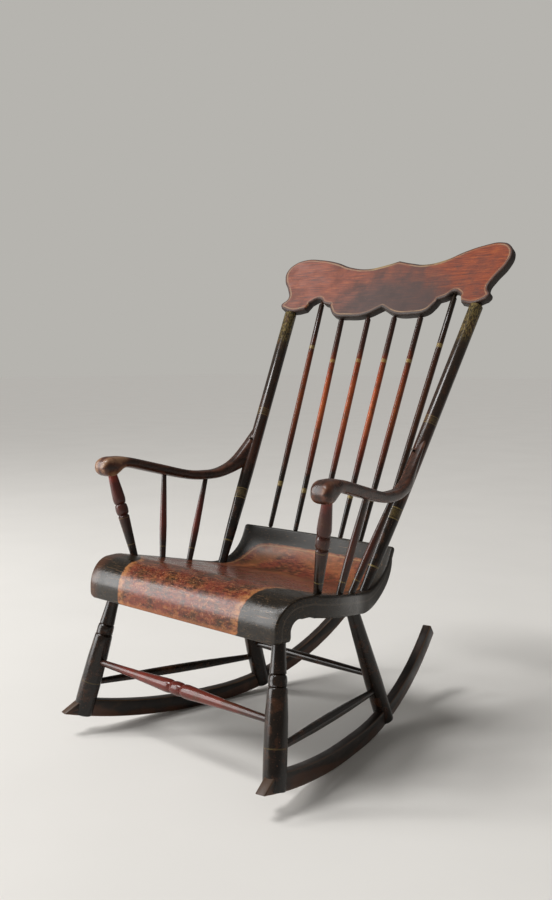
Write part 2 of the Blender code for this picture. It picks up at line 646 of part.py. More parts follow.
ARM_POST_FOOT_X = inside_end(ARM_POST_FOOT_Y, ARM_POST_INSET)
ARM_FRONT = Vector((ARM_POST_FOOT_X + ARM_POST_SPREAD, ARM_POST_FOOT_Y - ARM_POST_LEAN, ARM_HEIGHT))
ARM_END_LOW = post_axis_at(ARM_HEIGHT - ARM_END_DROP)
ARM_END_HIGH = post_axis_at(ARM_HEIGHT + ARM_END_RISE)
ARM_REAR = (ARM_END_LOW + ARM_END_HIGH) / 2


def arm_line(share):
    """The arm's line in plan, from its post in front to the back post, bowed outwards."""
    point = ARM_FRONT.lerp(ARM_REAR, share)
    point.x += ARM_OUTWARD_CURVE * 4 * share * (1 - share) if 0 < share < 1 else 0.0
    return point


def arm_stations():
    """Upper and lower edge of the arm with its half width, station by station, smoothed between them."""
    rough = []
    for share, dip, depth, half_width in ARM_STATIONS:
        line = arm_line(share)
        top = Vector((line.x, line.y, ARM_HEIGHT - dip * ARM_LOW_POINT))
        rough.append((top, top - Vector((0.0, 0.0, depth * ARM_DEPTH)), half_width * ARM_HALF_WIDTH))
    inset = Vector((0.0, ARM_END_INSET, 0.0))
    rough.append((ARM_END_HIGH - inset, ARM_END_LOW - inset, ARM_END_HALF_WIDTH))
    smooth = []
    for i in range(len(rough) - 1):
        before, near = rough[max(i - 1, 0)], rough[i]
        far, after = rough[i + 1], rough[min(i + 2, len(rough) - 1)]
        for step in range(ARM_RINGS_PER_STATION):
            share = step / ARM_RINGS_PER_STATION
            smooth.append(tuple(through(b, n, f, a, share) for b, n, f, a in zip(before, near, far, after)))
    smooth.append(rough[-1])
    return smooth


def through(before, near, far, after, share):
    """A smooth curve through four values, read between the middle two."""
    slope = far - before
    bend = before * 2 - near * 5 + far * 4 - after
    twist = near * 3 - before - far * 3 + after
    return near + (slope * share + bend * share ** 2 + twist * share ** 3) / 2


def arm_ring(top, bottom, half_width, side):
    """A section of the arm with rounded corners."""
    corner = ARM_CORNER * min((top - bottom).length / 2, half_width)
    drop = (bottom - top).normalized() * corner
    inner = Vector((half_width - corner, 0.0, 0.0))
    outer = Vector((half_width, 0.0, 0.0))
    ring = [top - inner, top + inner, top + outer + drop, bottom + outer - drop,
            bottom + inner, bottom - inner, bottom - outer - drop, top - outer + drop]
    return [mirrored(point, side) for point in ring]


def arm_underside(share):
    """The point under the arm at a share of the way from its post to the back post."""
    goal = arm_line(share).y
    edge = [bottom for top, bottom, half_width in arm_stations()]
    for near, far in zip(edge, edge[1:]):
        if near.y <= goal <= far.y:
            return near.lerp(far, (goal - near.y) / (far.y - near.y))
    return edge[-1]


def build_arms(plank, posts):
    """Arms scarfed and screwed to the back posts, on turned arm posts and short spindles."""
    stations = arm_stations()
    for side_name, side in SIDES:
        rings = [arm_ring(top, bottom, half_width, side) for top, bottom, half_width in stations]
        arm = loft(f"arm_{side_name}", rings, ARM_PAINT)
        cut_arm_end(arm, side_name, side, posts[side_name])
        build_arm_post(arm, plank, side_name, side)
        for letter, inset, y, share in zip("ab", ARM_SPINDLE_INSETS, ARM_SPINDLE_FEET_Y, ARM_SPINDLE_TOPS):
            foot = mirrored(seat_top(inside_end(y, inset), y), side)
            top = mirrored(arm_underside(share), side)
            build_arm_spindle(arm, plank, f"arm_spindle_{letter}_{side_name}", foot, top)


def cut_arm_end(arm, side_name, side, post):
    """Cope the arm's end to the back post, and screw it there."""
    middle = mirrored(ARM_REAR, side)
    way = mirrored(POST_WAY, side)
    reach = POST_LENGTH / 4
    cut(arm, post_room(f"arm_cope_{side_name}", middle - way * reach, middle + way * reach))
    square = Vector((0.0, -way.z, way.y)).normalized()
    tip = middle - square * (ARM_SCREW_IN_POST - POST_RADIUS)
    head = middle + square * (POST_RADIUS + ARM_SCREW_IN_ARM)
    length = (head - tip).length
    outline = ((0.0, ARM_SCREW_RADIUS), (length, ARM_SCREW_RADIUS))
    turned(f"arm_screw_{side_name}", outline, tip, head, SCREW_IRON, THIN_LATHE_SIDES)
    drill(arm, middle, head + square * CLEARANCE, ARM_SCREW_RADIUS)
    drill(post, tip - square * CLEARANCE, head, ARM_SCREW_RADIUS)


def build_arm_post(arm, plank, side_name, side):
    """The turned post under the arm's knuckle, with a pair of rings above its middle."""
    foot = mirrored(seat_top(ARM_POST_FOOT_X, ARM_POST_FOOT_Y), side)
    top = mirrored(arm_underside(0.0), side)
    way = (top - foot).normalized()
    start = foot - way * ARM_POST_DEPTH
    tip = top + way * ARM_POST_DEPTH
    shown = (top - foot).length
    outline = [(0.0, ARM_POST_FOOT_RADIUS), (ARM_POST_DEPTH + STRAIGHT_NECK, ARM_POST_FOOT_RADIUS)]
    outline += [(ARM_POST_DEPTH + share * shown, width * ARM_POST_RADIUS) for share, width in ARM_POST_SHAPE]
    outline += [(ARM_POST_DEPTH + shown - STRAIGHT_NECK, ARM_POST_TOP_RADIUS),
                (2 * ARM_POST_DEPTH + shown, ARM_POST_TOP_RADIUS)]
    turned(f"arm_post_{side_name}", outline, start, tip, RED_PAINT, LATHE_SIDES)
    socket(plank, start, way, ARM_POST_DEPTH, ARM_POST_FOOT_RADIUS)
    socket(arm, tip, -way, ARM_POST_DEPTH, ARM_POST_TOP_RADIUS)


def build_arm_spindle(arm, plank, name, foot, top):
    """A short spindle between the seat and the arm's underside."""
    way = (top - foot).normalized()
    start = foot - way * ARM_SPINDLE_SEAT_DEPTH
    tip = top + way * ARM_SPINDLE_ARM_DEPTH
    length = (tip - start).length
    outline = (
        (0.0, ARM_SPINDLE_FOOT_RADIUS), (ARM_SPINDLE_SEAT_DEPTH + STRAIGHT_NECK, ARM_SPINDLE_FOOT_RADIUS),
        (ARM_SPINDLE_SWELL_AT * length, ARM_SPINDLE_RADIUS),
        ((1 + ARM_SPINDLE_SWELL_AT) * length / 2, (ARM_SPINDLE_RADIUS + ARM_SPINDLE_TOP_RADIUS) / 2),
        (length - ARM_SPINDLE_ARM_DEPTH - STRAIGHT_NECK, ARM_SPINDLE_TOP_RADIUS),
        (length, ARM_SPINDLE_TOP_RADIUS),
    )
    turned(name, outline, start, tip, RED_PAINT, THIN_LATHE_SIDES)
    socket(plank, start, way, ARM_SPINDLE_SEAT_DEPTH, ARM_SPINDLE_FOOT_RADIUS)
    socket(arm, tip, -way, ARM_SPINDLE_ARM_DEPTH, ARM_SPINDLE_TOP_RADIUS)


# Rockers
FLAT_END = ROCKER_FLAT_START + ROCKER_FLAT_LENGTH


def rocker_bottom(run):
    """Height and slope angle of the rocker's underside at a distance behind y = 0, along the rocker."""
    if run < ROCKER_FLAT_START:
        away, radius, turn = ROCKER_FLAT_START - run, ROCKER_FRONT_RADIUS, -1.0
    elif run > FLAT_END:
        away, radius, turn = run - FLAT_END, ROCKER_REAR_RADIUS, 1.0
    else:
        return 0.0, 0.0
    return radius - sqrt(radius ** 2 - away ** 2), turn * atan2(away, sqrt(radius ** 2 - away ** 2))


def rocker_depth(run):
    """Depth of the rocker, square to its underside: deep in front, slim at the tail."""
    share = (run + ROCKER_FRONT_REACH) / (ROCKER_REAR_REACH + ROCKER_FRONT_REACH)
    return ROCKER_FRONT_DEPTH + (ROCKER_TAIL_DEPTH - ROCKER_FRONT_DEPTH) * share


def rocker_sections(raised=0.0, dropped=0.0):
    """Lower and upper points along the rocker, in its own plane, with room added above or below."""
    shares = [i / ROCKER_STATIONS for i in range(ROCKER_STATIONS + 1)]
    crown = ROCKER_BEAK_SLOPE - ROCKER_FRONT_REACH
    front = [crown + (ROCKER_FLAT_START - crown) * share for share in shares]
    rear = [FLAT_END + (ROCKER_REAR_REACH - FLAT_END) * share for share in shares]
    sections = []
    for run in front + rear:
        height, angle = rocker_bottom(run)
        square = Vector((-sin(angle), cos(angle)))
        lower = Vector((run, height))
        sections.append((lower - square * dropped, lower + square * (rocker_depth(run) + raised)))
    lower, upper = sections[0]
    tip = Vector((-ROCKER_FRONT_REACH, rocker_bottom(-ROCKER_FRONT_REACH)[0]))
    nose = tip.lerp(upper, ROCKER_NOSE_SHARE)
    ahead = Vector((2 * raised, 0.0))
    beak = (tip - ahead - Vector((0.0, dropped)), nose - ahead)
    return [beak, (lower, upper - ahead)] + sections[1:]


def rocker_place(side):
    """The placing of a rocker's own plane: run along its length, then outwards, then up."""
    turn = Matrix.Rotation(ROCKER_TOE_IN * side, 4, 'Z')
    return Matrix.Translation((ROCKER_MIDDLE_X * side, 0.0, 0.0)) @ turn


def rocker_rings(side, thickness, raised=0.0, dropped=0.0):
    """Square sections along a rocker."""
    place = rocker_place(side)
    rings = []
    for lower, upper in rocker_sections(raised, dropped):
        corners = ((-0.5, lower), (0.5, lower), (0.5, upper), (-0.5, upper))
        rings.append([place @ Vector((share * thickness, point.x, point.y)) for share, point in corners])
    return rings


def rocker_point(y, rise, side):
    """A point in the middle of a rocker's thickness, at y and at a share of its depth."""
    run = y / cos(ROCKER_TOE_IN)
    height, angle = rocker_bottom(run)
    depth = rocker_depth(run) * rise
    return rocker_place(side) @ Vector((0.0, run - sin(angle) * depth, height + cos(angle) * depth))


def build_rockers():
    """Two rockers sawn from plank, and the slots that they fill in the legs."""
    rockers, slots = {}, {}
    for side_name, side in SIDES:
        rockers[side_name] = loft(f"rocker_{side_name}", rocker_rings(side, ROCKER_THICKNESS), BLACK_PAINT)
        room = rocker_rings(side, ROCKER_THICKNESS + 2 * CLEARANCE, CLEARANCE, ROCKER_FRONT_DEPTH / 2)
        slots[side_name] = loft(f"leg_slot_{side_name}", room, None)
    return rockers, slots


# Legs and stretchers
def leg_ends(row, side):
    """Where a leg's axis leaves the seat, and where it crosses the middle of the rocker's depth."""
    if row == "front":
        top = Vector((inside_end(FRONT_LEG_TOP_Y, FRONT_LEG_INSET), FRONT_LEG_TOP_Y, LIP_HEIGHT))
        foot = rocker_point(FRONT_LEG_FOOT_Y, 0.5, 1)
    else:
        top = seat_underside(inside_end(REAR_LEG_TOP_Y, REAR_LEG_INSET), REAR_LEG_TOP_Y)
        foot = rocker_point(REAR_LEG_FOOT_Y, 0.5, 1)
    return mirrored(top, side), mirrored(foot, side)


def leg_at(row, side, height):
    """The point on a leg's axis at a height."""
    top, foot = leg_ends(row, side)
    return foot.lerp(top, (height - foot.z) / (top.z - foot.z))


def leg_outline(row, length):
    """Turned outline of a leg from its foot up, with its tenon in the seat."""
    if row == "front":
        shape, foot_radius = FRONT_LEG_SHAPE, FRONT_LEG_FOOT_RADIUS
        top_radius, depth = FRONT_LEG_TOP_RADIUS, FRONT_LEG_SEAT_DEPTH
    else:
        shape, foot_radius = REAR_LEG_SHAPE, REAR_LEG_FOOT_RADIUS
        top_radius, depth = REAR_LEG_TOP_RADIUS, REAR_LEG_SEAT_DEPTH
    outline = [(share * length, width * foot_radius) for share, width in shape]
    outline += [(length - STRAIGHT_NECK, top_radius), (length + depth, top_radius)]
    return outline, top_radius, depth


def build_leg(row, side_name, side, seat_piece, rocker, slot):
    """A leg forked over its rocker and pegged through it, with its top in the seat."""
    top, crossing = leg_ends(row, side)
    way = (top - crossing).normalized()
    foot_y = FRONT_LEG_FOOT_Y if row == "front" else REAR_LEG_FOOT_Y
    half_depth = rocker_depth(foot_y / cos(ROCKER_TOE_IN)) / 2
    start = crossing - way * (half_depth - LEG_FOOT_RAISE)
    outline, top_radius, depth = leg_outline(row, (top - start).length)
    tip = start + way * outline[-1][0]
    leg = turned(f"{row}_leg_{side_name}", outline, start, tip, BLACK_PAINT, LATHE_SIDES)
    cut(leg, slot)
    socket(seat_piece, tip, -way, depth, top_radius)
    across = rocker_place(side).to_3x3() @ Vector((1.0, 0.0, 0.0))
    half_peg = outline[0][1] - ROCKER_PEG_SHORT
    peg = ((0.0, ROCKER_PEG_RADIUS), (2 * half_peg, ROCKER_PEG_RADIUS))
    turned(f"rocker_peg_{row}_{side_name}", peg, crossing - across * half_peg, crossing + across * half_peg,
           BARE_WOOD, THIN_LATHE_SIDES)
    for wood in (leg, rocker):
        drill(wood, crossing - across * 2 * half_peg, crossing + across * 2 * half_peg, ROCKER_PEG_RADIUS)
    return leg


def stretcher(name, start_point, end_point, shape, finish, legs):
    """A turned stretcher between two points on leg axes; shape gives (share of its length, radius)."""
    way = (end_point - start_point).normalized()
    start = start_point + way * STRETCHER_SETBACK
    end = end_point - way * STRETCHER_SETBACK
    length = (end - start).length
    hidden = FRONT_LEG_FOOT_RADIUS
    outline = [(0.0, STRETCHER_END_RADIUS), (hidden, STRETCHER_END_RADIUS)]
    outline += [(share * length, radius) for share, radius in shape]
    outline += [(length - hidden, STRETCHER_END_RADIUS), (length, STRETCHER_END_RADIUS)]
    turned(name, outline, start, end, finish, THIN_LATHE_SIDES)
    socket(legs[0], start, way, hidden, STRETCHER_END_RADIUS)
    socket(legs[1], end, -way, hidden, STRETCHER_END_RADIUS)


def build_stretchers(legs):
    """The turned front stretcher with a ringed middle, and three plain stretchers."""
    front_left = leg_at("front", -1, FRONT_STRETCHER_HEIGHT)
    front_right = leg_at("front", 1, FRONT_STRETCHER_HEIGHT)
    bead = FRONT_STRETCHER_BEAD_HALF / (front_right - front_left).length
    slim = FRONT_STRETCHER_SLIM * FRONT_STRETCHER_RADIUS
    half = [(0.25, (slim + STRETCHER_END_RADIUS) / 2), (0.5 - 2 * bead, FRONT_STRETCHER_RADIUS),
            (0.5 - bead, slim), (0.5 - bead / 2, FRONT_STRETCHER_RADIUS)]
    shape = half + [(1.0 - share, radius) for share, radius in reversed(half)]
    stretcher("front_stretcher", front_left, front_right, shape, RED_PAINT,
              (legs["front", "left"], legs["front", "right"]))
    rear_ends = [leg_at("rear", side, REAR_STRETCHER_HEIGHT) for side in (-1, 1)]
    shape = [(share, width * REAR_STRETCHER_RADIUS) for share, width in PLAIN_STRETCHER_SHAPE]
    stretcher("rear_stretcher", *rear_ends, shape, BLACK_PAINT, (legs["rear", "left"], legs["rear", "right"]))
    shape = [(share, width * SIDE_STRETCHER_RADIUS) for share, width in PLAIN_STRETCHER_SHAPE]
    for side_name, side in SIDES:
        front_end = leg_at("front", side, SIDE_STRETCHER_FRONT_HEIGHT)
        rear_end = leg_at("rear", side, SIDE_STRETCHER_REAR_HEIGHT)
        stretcher(f"side_stretcher_{side_name}", front_end, rear_end, shape, BLACK_PAINT,
                  (legs["front", side_name], legs["rear", side_name]))


def build_chair():
    """Every piece, from the seat outwards."""
    seat_plank, front_roll, rear_roll = build_seat()
    crest = build_crest()
    posts = build_posts(rear_roll, crest)
    build_spindles(rear_roll, crest)
    build_arms(seat_plank, posts)
    rockers, slots = build_rockers()
    legs = {}
    for row, seat_piece in (("front", front_roll), ("rear", rear_roll)):
        for side_name, side in SIDES:
            rocker, slot = rockers[side_name], slots[side_name]
            legs[row, side_name] = build_leg(row, side_name, side, seat_piece, rocker, slot)
    build_stretchers(legs)
    cut_holes()


def centre_chair():
    """Move the stance so that the origin is under the middle of the chair, front to rear."""
    bpy.context.view_layer.update()
    depsgraph = bpy.context.evaluated_depsgraph_get()
    reach = []
    for piece in chair_parts.objects:
        if piece.type == 'MESH':
            seen = piece.evaluated_get(depsgraph)
            reach += [(seen.matrix_world @ vert.co).y for vert in seen.data.vertices]
    chair.location.y = -(min(reach) + max(reach)) / 2


build_chair()
centre_chair()
bpy.context.view_layer.update()
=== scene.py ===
# %% [markdown]
# # A painted Boston rocking chair
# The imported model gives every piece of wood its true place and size. This lesson makes each visible piece
# again, smoother and with its aged paint, and lets it stand for the plain solid in the same place.
# A chair like this was turned, sawn, bent and glued, so each way of working gets its own small tool here.

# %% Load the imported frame
import json
from math import atan2, cos, pi, radians, sin, sqrt

import bmesh
import bpy
import numpy as np
from mathutils import Matrix, Vector
from mathutils.kdtree import KDTree

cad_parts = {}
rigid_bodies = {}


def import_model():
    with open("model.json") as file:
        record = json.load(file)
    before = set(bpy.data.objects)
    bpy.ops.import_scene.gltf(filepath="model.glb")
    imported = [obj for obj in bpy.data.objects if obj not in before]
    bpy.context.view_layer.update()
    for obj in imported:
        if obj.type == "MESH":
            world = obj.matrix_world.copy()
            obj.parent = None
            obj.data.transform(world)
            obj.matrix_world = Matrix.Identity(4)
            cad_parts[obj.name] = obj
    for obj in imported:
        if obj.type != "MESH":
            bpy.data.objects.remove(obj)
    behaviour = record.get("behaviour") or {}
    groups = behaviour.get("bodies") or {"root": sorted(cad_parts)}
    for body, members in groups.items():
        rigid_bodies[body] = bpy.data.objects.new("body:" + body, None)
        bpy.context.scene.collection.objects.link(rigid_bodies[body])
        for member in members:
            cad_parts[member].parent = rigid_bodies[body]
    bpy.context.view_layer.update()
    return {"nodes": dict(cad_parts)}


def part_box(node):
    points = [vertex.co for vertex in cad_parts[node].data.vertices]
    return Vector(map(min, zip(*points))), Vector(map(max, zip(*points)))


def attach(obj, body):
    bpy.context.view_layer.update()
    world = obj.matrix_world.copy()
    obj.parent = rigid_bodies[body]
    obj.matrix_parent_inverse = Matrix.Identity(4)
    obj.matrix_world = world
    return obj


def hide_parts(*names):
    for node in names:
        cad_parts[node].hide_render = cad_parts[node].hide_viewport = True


for old in list(bpy.data.objects):
    bpy.data.objects.remove(old, do_unlink=True)
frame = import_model()
print("frame:", len(frame["nodes"]), "nodes")

# %% [markdown]
# ## Small tools
# Colours are written as the sRGB hex values that a paint card would show, and one function turns them to
# the linear light that shaders count in. Pattern scales come from a size in millimetres. One function adds
# a node with its settings and links, which keeps every finish below readable from top to bottom. The node met
# most often is Map Range: it takes a value, the two ends of its range, and the two ends of the new range.

# %% Colour, scale and node tools
SMOOTH = {"interpolation_type": 'SMOOTHSTEP'}


def linear(hex_colour):
    """An sRGB hex colour as linear RGBA."""
    channels = [int(hex_colour[i:i + 2], 16) / 255.0 for i in (1, 3, 5)]
    light = [c / 12.92 if c <= 0.04045 else ((c + 0.055) / 1.055) ** 2.4 for c in channels]
    return (*light, 1.0)


def per_mm(size):
    """The texture scale at which one feature of a pattern is this many millimetres across."""
    return 1000.0 / size


def add(tree, kind, inputs=(), **settings):
    """Add one shader node. Its inputs, by name or in the node's own order, are values, sockets to link from
    or other nodes, which give their first output."""
    node = tree.nodes.new("ShaderNode" + kind)
    for key, value in settings.items():
        setattr(node, key, value)
    named = inputs if isinstance(inputs, dict) else dict(enumerate(inputs))
    for key, value in named.items():
        if isinstance(value, bpy.types.Node):
            value = next(output for output in value.outputs if output.enabled)
        if isinstance(value, bpy.types.NodeSocket):
            tree.links.new(value, node.inputs[key])
        else:
            node.inputs[key].default_value = value
    return node


def new_finish(name, roughness):
    """A material with its node tree and its Principled shader."""
    finish = bpy.data.materials.new(name)
    finish.use_nodes = True
    shader = finish.node_tree.nodes["Principled BSDF"]
    shader.inputs["Roughness"].default_value = roughness
    return finish, finish.node_tree, shader


def colour_stops(ramp, stops):
    """Give a colour ramp its stops, as (place, hex colour)."""
    elements = ramp.color_ramp.elements
    while len(elements) < len(stops):
        elements.new(1.0)
    for element, (place, colour) in zip(elements, stops):
        element.position = place
        element.color = linear(colour)


print("a mid grey paint in linear light:", round(linear("#808080")[0], 3))

# %% [markdown]
# ## What all old paint has in common
# Brushed oil paint shows long streaks, broad blotches where it has dulled, and fine specks where it has
# chipped. These three patterns are made once for every painted finish. They also drive its sheen and its
# relief, so that colour, gloss and bump tell the same story. They are read from the piece's own place, a
# mark on the mesh, so the pattern follows the wood and not the room. Most wear is a coat that shows where one
# of the patterns is strong, so a second function lays such coats in turn.

# %% Start of every painted finish
PAINT_IOR = 1.42                # oil paint under old shellac
SPECK = 3.0                     # millimetres, coarser than most real chips so that they show
BUMP_STRENGTH = 0.28


def start_paint(name, stretch, streak, blotch, gloss, relief_mm=0.4):
    """A painted wood with its streaks, blotches and specks. Streak and blotch are in millimetres, stretch
    draws the streaks out along the grain, and gloss is the range of the roughness."""
    finish, tree, shader = new_finish(name, gloss[0])
    shader.inputs["IOR"].default_value = PAINT_IOR
    own = add(tree, 'Attribute', attribute_name="own").outputs["Vector"]
    brushed = add(tree, 'Mapping', {"Vector": own, "Scale": stretch})
    streaks, blotches, specks = (
        add(tree, 'TexNoise', {"Vector": place, "Scale": per_mm(size), "Detail": detail, "Roughness": finer})
        for place, size, detail, finer in (
            (brushed, streak, 6.0, 0.62), (own, blotch, 4.0, 0.6), (own, SPECK, 4.0, 0.7)))
    sheen = add(tree, 'MapRange', (blotches, 0.3, 0.7, gloss[0], gloss[1]))
    tree.links.new(sheen.outputs["Result"], shader.inputs["Roughness"])
    relief = add(tree, 'Math', (streaks, specks), operation='ADD')
    bump = add(tree, 'Bump', {"Height": relief, "Strength": BUMP_STRENGTH, "Distance": relief_mm / 1000.0})
    tree.links.new(bump.outputs["Normal"], shader.inputs["Normal"])
    return finish, tree, shader, own, streaks, blotches, specks


def lay_coats(tree, colour, edge, *coats):
    """Lay coats over a colour, with soft ('SMOOTHSTEP') or crisp ('LINEAR') edges. A coat has a pattern,
    the pattern's values where the coat starts and is full, its strength there, and its hex colour."""
    for pattern, start, full, strength, coat in coats:
        shows = add(tree, 'MapRange', (pattern, start, full, 0.0, strength), interpolation_type=edge)
        colour = add(tree, 'Mix', {0: shows, 6: colour, 7: linear(coat)}, data_type='RGBA')
    return colour


print("paint: index of refraction", PAINT_IOR)

# %% [markdown]
# ## Making a piece stand in the frame
# A finished mesh goes into the scene at the origin, rides on the chair's one body and replaces the solid
# that it was made from. The shading is smooth, with a crisp edge wherever the wood has a real corner.

# %% Finished pieces
MERGE = 0.00002                 # metres, points nearer than this are one
SHARP_ANGLE = radians(38)
SIDES = {"right": 1, "left": -1}


def finish_piece(node, bm, finish):
    """Turn a bmesh into the painted piece that stands for a CAD node."""
    if bm.verts.layers.float_vector.get("own") is None:
        own = bm.verts.layers.float_vector.new("own")
        for vert in bm.verts:
            vert[own] = vert.co
    mesh = bpy.data.meshes.new("painted_" + node)
    bm.to_mesh(mesh)
    bm.free()
    mesh.shade_smooth()
    mesh.set_sharp_from_angle(angle=SHARP_ANGLE)
    mesh.materials.append(finish)
    piece = bpy.data.objects.new("painted_" + node, mesh)
    bpy.context.scene.collection.objects.link(piece)
    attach(piece, "root")
    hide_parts(node)
    return piece


print("sides:", *SIDES)

# %% [markdown]
# ## Where the lathe's centres were
# Posts, spindles, legs and stretchers were turned between two centres. The frame holds each of them as
# rings of points round that line. Sorting the points along the piece finds the whole rings, and the line
# through the middles of the first and last whole ring is the lathe's own axis, even where a slot or a hole
# is cut into the wood.

# %% Axis of a turned node
RING_GAP = 0.0004               # metres along the piece that part two rings
WHOLE_RINGS = (12, 16, 32)      # points in a ring that nothing is cut from


def lathe_line(node):
    """Foot, direction and length of a turned CAD node."""
    points = np.unique(np.array([vert.co for vert in frame["nodes"][node].data.vertices]), axis=0)
    middle = points.mean(axis=0)
    guess = np.linalg.eigh(np.cov((points - middle).T))[1][:, -1]
    reach = (points - middle) @ guess
    order = reach.argsort()
    breaks = np.where(np.diff(reach[order]) > RING_GAP)[0] + 1
    rings = [ring for ring in np.split(order, breaks) if len(ring) in WHOLE_RINGS]
    first = points[rings[0]].mean(axis=0)
    way = points[rings[-1]].mean(axis=0) - first
    way = way / np.linalg.norm(way)
    way = way * np.sign(way[np.abs(way).argmax()])
    reach = (points - first) @ way
    return Vector(first + way * reach.min()), Vector(way), float(reach.max() - reach.min())


post_foot, post_way, post_length = lathe_line("back_post_right")
print("back post:", round(post_length * 1000), "mm long, leans back",
      round(atan2(post_way.y, post_way.z) * 180 / pi, 1), "degrees")

# %% [markdown]
# ## Turning
# A lathe makes a round shape from one outline, and the spin operator does the same: a chain of edges goes
# once round the axis. Before the piece is tilted into place, its own coordinates are kept on the mesh as
# marks: where each point is, its share of the length, and how much red is left on the piece. Round beads
# and V cuts are short runs of outline points.

# %% Spin a turned piece
LATHE_SIDES = 40
SEED_STEP = 1.7                 # moves the paint's pattern on from piece to piece
turned_count = 0


def bead(middle, half, radius, rise):
    """Outline points of a round ring that stands proud of the wood."""
    angles = [radians(a) for a in (-90, -60, -30, 0, 30, 60, 90)]
    return [(middle + half * sin(a), radius + rise * cos(a)) for a in angles]


def groove(middle, half, radius, depth):
    """Outline points of a V cut."""
    return [(middle - half, radius), (middle, radius - depth), (middle + half, radius)]


def turn(node, outline, finish, redness=1.0):
    """Spin an outline of (share of the length, radius) and set it on the node's axis."""
    global turned_count
    foot, way, length = lathe_line(node)
    bm = bmesh.new()
    line = [bm.verts.new((0.0, -radius, share * length)) for share, radius in outline]
    chain = [bm.edges.new(pair) for pair in zip(line, line[1:])]
    bmesh.ops.spin(bm, geom=line + chain, cent=(0, 0, 0), axis=(0, 0, 1), angle=2 * pi,
                   steps=LATHE_SIDES, use_merge=True)
    bmesh.ops.remove_doubles(bm, verts=bm.verts, dist=MERGE)
    bmesh.ops.holes_fill(bm, edges=[edge for edge in bm.edges if edge.is_boundary])
    bmesh.ops.recalc_face_normals(bm, faces=bm.faces)
    own_place = bm.verts.layers.float_vector.new("own")
    own_share = bm.verts.layers.float.new("share")
    own_redness = bm.verts.layers.float.new("redness")
    for vert in bm.verts:
        vert[own_place] = vert.co + Vector((0.0, 0.0, SEED_STEP * turned_count))
        vert[own_share] = vert.co.z / length
        vert[own_redness] = redness
    rear = Vector((0.0, 1.0, 0.0))
    depth_axis = (rear - way * rear.dot(way)).normalized()
    turn_to = Matrix((depth_axis.cross(way), depth_axis, way)).transposed().to_4x4()
    bmesh.ops.transform(bm, matrix=Matrix.Translation(foot) @ turn_to, verts=bm.verts)
    turned_count += 1
    return finish_piece(node, bm, finish)


print("lathe: a ring has", LATHE_SIDES, "points")

# %% [markdown]
# ## Aged paint on turned wood
# The chair was painted red, then grained over in black-brown, with narrow bands in bronze powder. Hands
# and dusters wore the black away in the middle of each spindle, so the red shows there. One function lays
# the same coats on every turned piece: a colour for each part of its length with ragged borders, faint
# streaks along the grain, small chips, and gilt bands that have partly rubbed off. The posts also carry a
# stencilled leaf pattern in gilt just below the crest.

# %% Turned paint
GILT = "#a08a52"
CHIP = "#7d5540"
RUST = "#472a19"
LEAF_FLAKE = 3.0                # millimetres
FULL_GILT = 0.6                 # share of a band's half width that is evenly gilt


def turned_paint(name, stops, bands=(), leaves=()):
    """Old paint in coats: stops are (share, colour), bands and leaves (middle share, half, strength)."""
    finish, tree, shader, own, streaks, blotches, specks = start_paint(
        name, stretch=(1.0, 1.0, 0.05), streak=9, blotch=26, gloss=(0.16, 0.28), relief_mm=0.10)
    share = add(tree, 'Attribute', attribute_name="share").outputs["Fac"]
    redness = add(tree, 'Attribute', attribute_name="redness").outputs["Fac"]
    ragged = add(tree, 'MapRange', (blotches, 0.25, 0.75, -0.06, 0.06))
    shifted = add(tree, 'Math', (share, ragged), operation='ADD')
    coats = add(tree, 'ValToRGB', {"Fac": shifted})
    colour_stops(coats, stops)
    colour = add(tree, 'Mix', {0: redness, 6: linear("#20180f"), 7: coats}, data_type='RGBA')
    colour = lay_coats(tree, colour, 'SMOOTHSTEP', (streaks, 0.45, 0.75, 0.55, "#17110d"),
                       (blotches, 0.50, 0.68, 0.60, RUST))
    colour = lay_coats(tree, colour, 'LINEAR', (specks, 0.63, 0.70, 0.70, CHIP))
    rubbed = add(tree, 'MapRange', (specks, 0.36, 0.60, 1.0, 0.35), **SMOOTH)
    leaf_place = add(tree, 'Mapping', {"Vector": own, "Scale": (1.0, 1.0, 0.4)})
    flakes = add(tree, 'TexNoise', {"Vector": leaf_place, "Scale": per_mm(LEAF_FLAKE), "Detail": 3.0})
    leaf = add(tree, 'MapRange', (flakes, 0.42, 0.62), **SMOOTH)
    for pattern, places in ((rubbed, bands), (leaf, leaves)):
        for middle, half, strength in places:
            off = add(tree, 'Math', (share, middle), operation='SUBTRACT')
            away = add(tree, 'Math', (off,), operation='ABSOLUTE')
            ring = add(tree, 'MapRange', (away, FULL_GILT * half, half, strength, 0.0))
            gilt = add(tree, 'Math', (ring, pattern), operation='MULTIPLY')
            colour = add(tree, 'Mix', {0: gilt, 6: colour, 7: linear(GILT)}, data_type='RGBA')
    tree.links.new(colour.outputs[2], shader.inputs["Base Color"])
    return finish


BLACK_STOPS = ((0.0, "#140e0a"), (0.5, "#1e150e"), (1.0, "#18110c"))
spindle_paint = turned_paint("worn_red_spindle_paint", (
    (0.0, "#16110c"), (0.26, "#22180f"), (0.38, "#6a2c18"), (0.55, "#a9542a"), (0.72, "#8c3c1c"),
    (0.82, "#40221a"), (1.0, "#241a15")), ((0.205, 0.012, 0.9), (0.770, 0.009, 0.85)))
post_paint = turned_paint("gilt_banded_black_post_paint", (
    (0.0, "#140f0b"), (0.30, "#1d1610"), (0.40, "#3c2217"), (0.52, "#2c201a"), (0.78, "#292018"),
    (0.92, "#352d1b"), (1.0, "#38301d")), (
    (0.095, 0.003, 0.6), (0.260, 0.015, 0.25), (0.276, 0.002, 0.6), (0.244, 0.002, 0.6),
    (0.548, 0.0015, 0.45), (0.570, 0.0015, 0.45), (0.559, 0.009, 0.16)), ((0.915, 0.100, 0.40),))
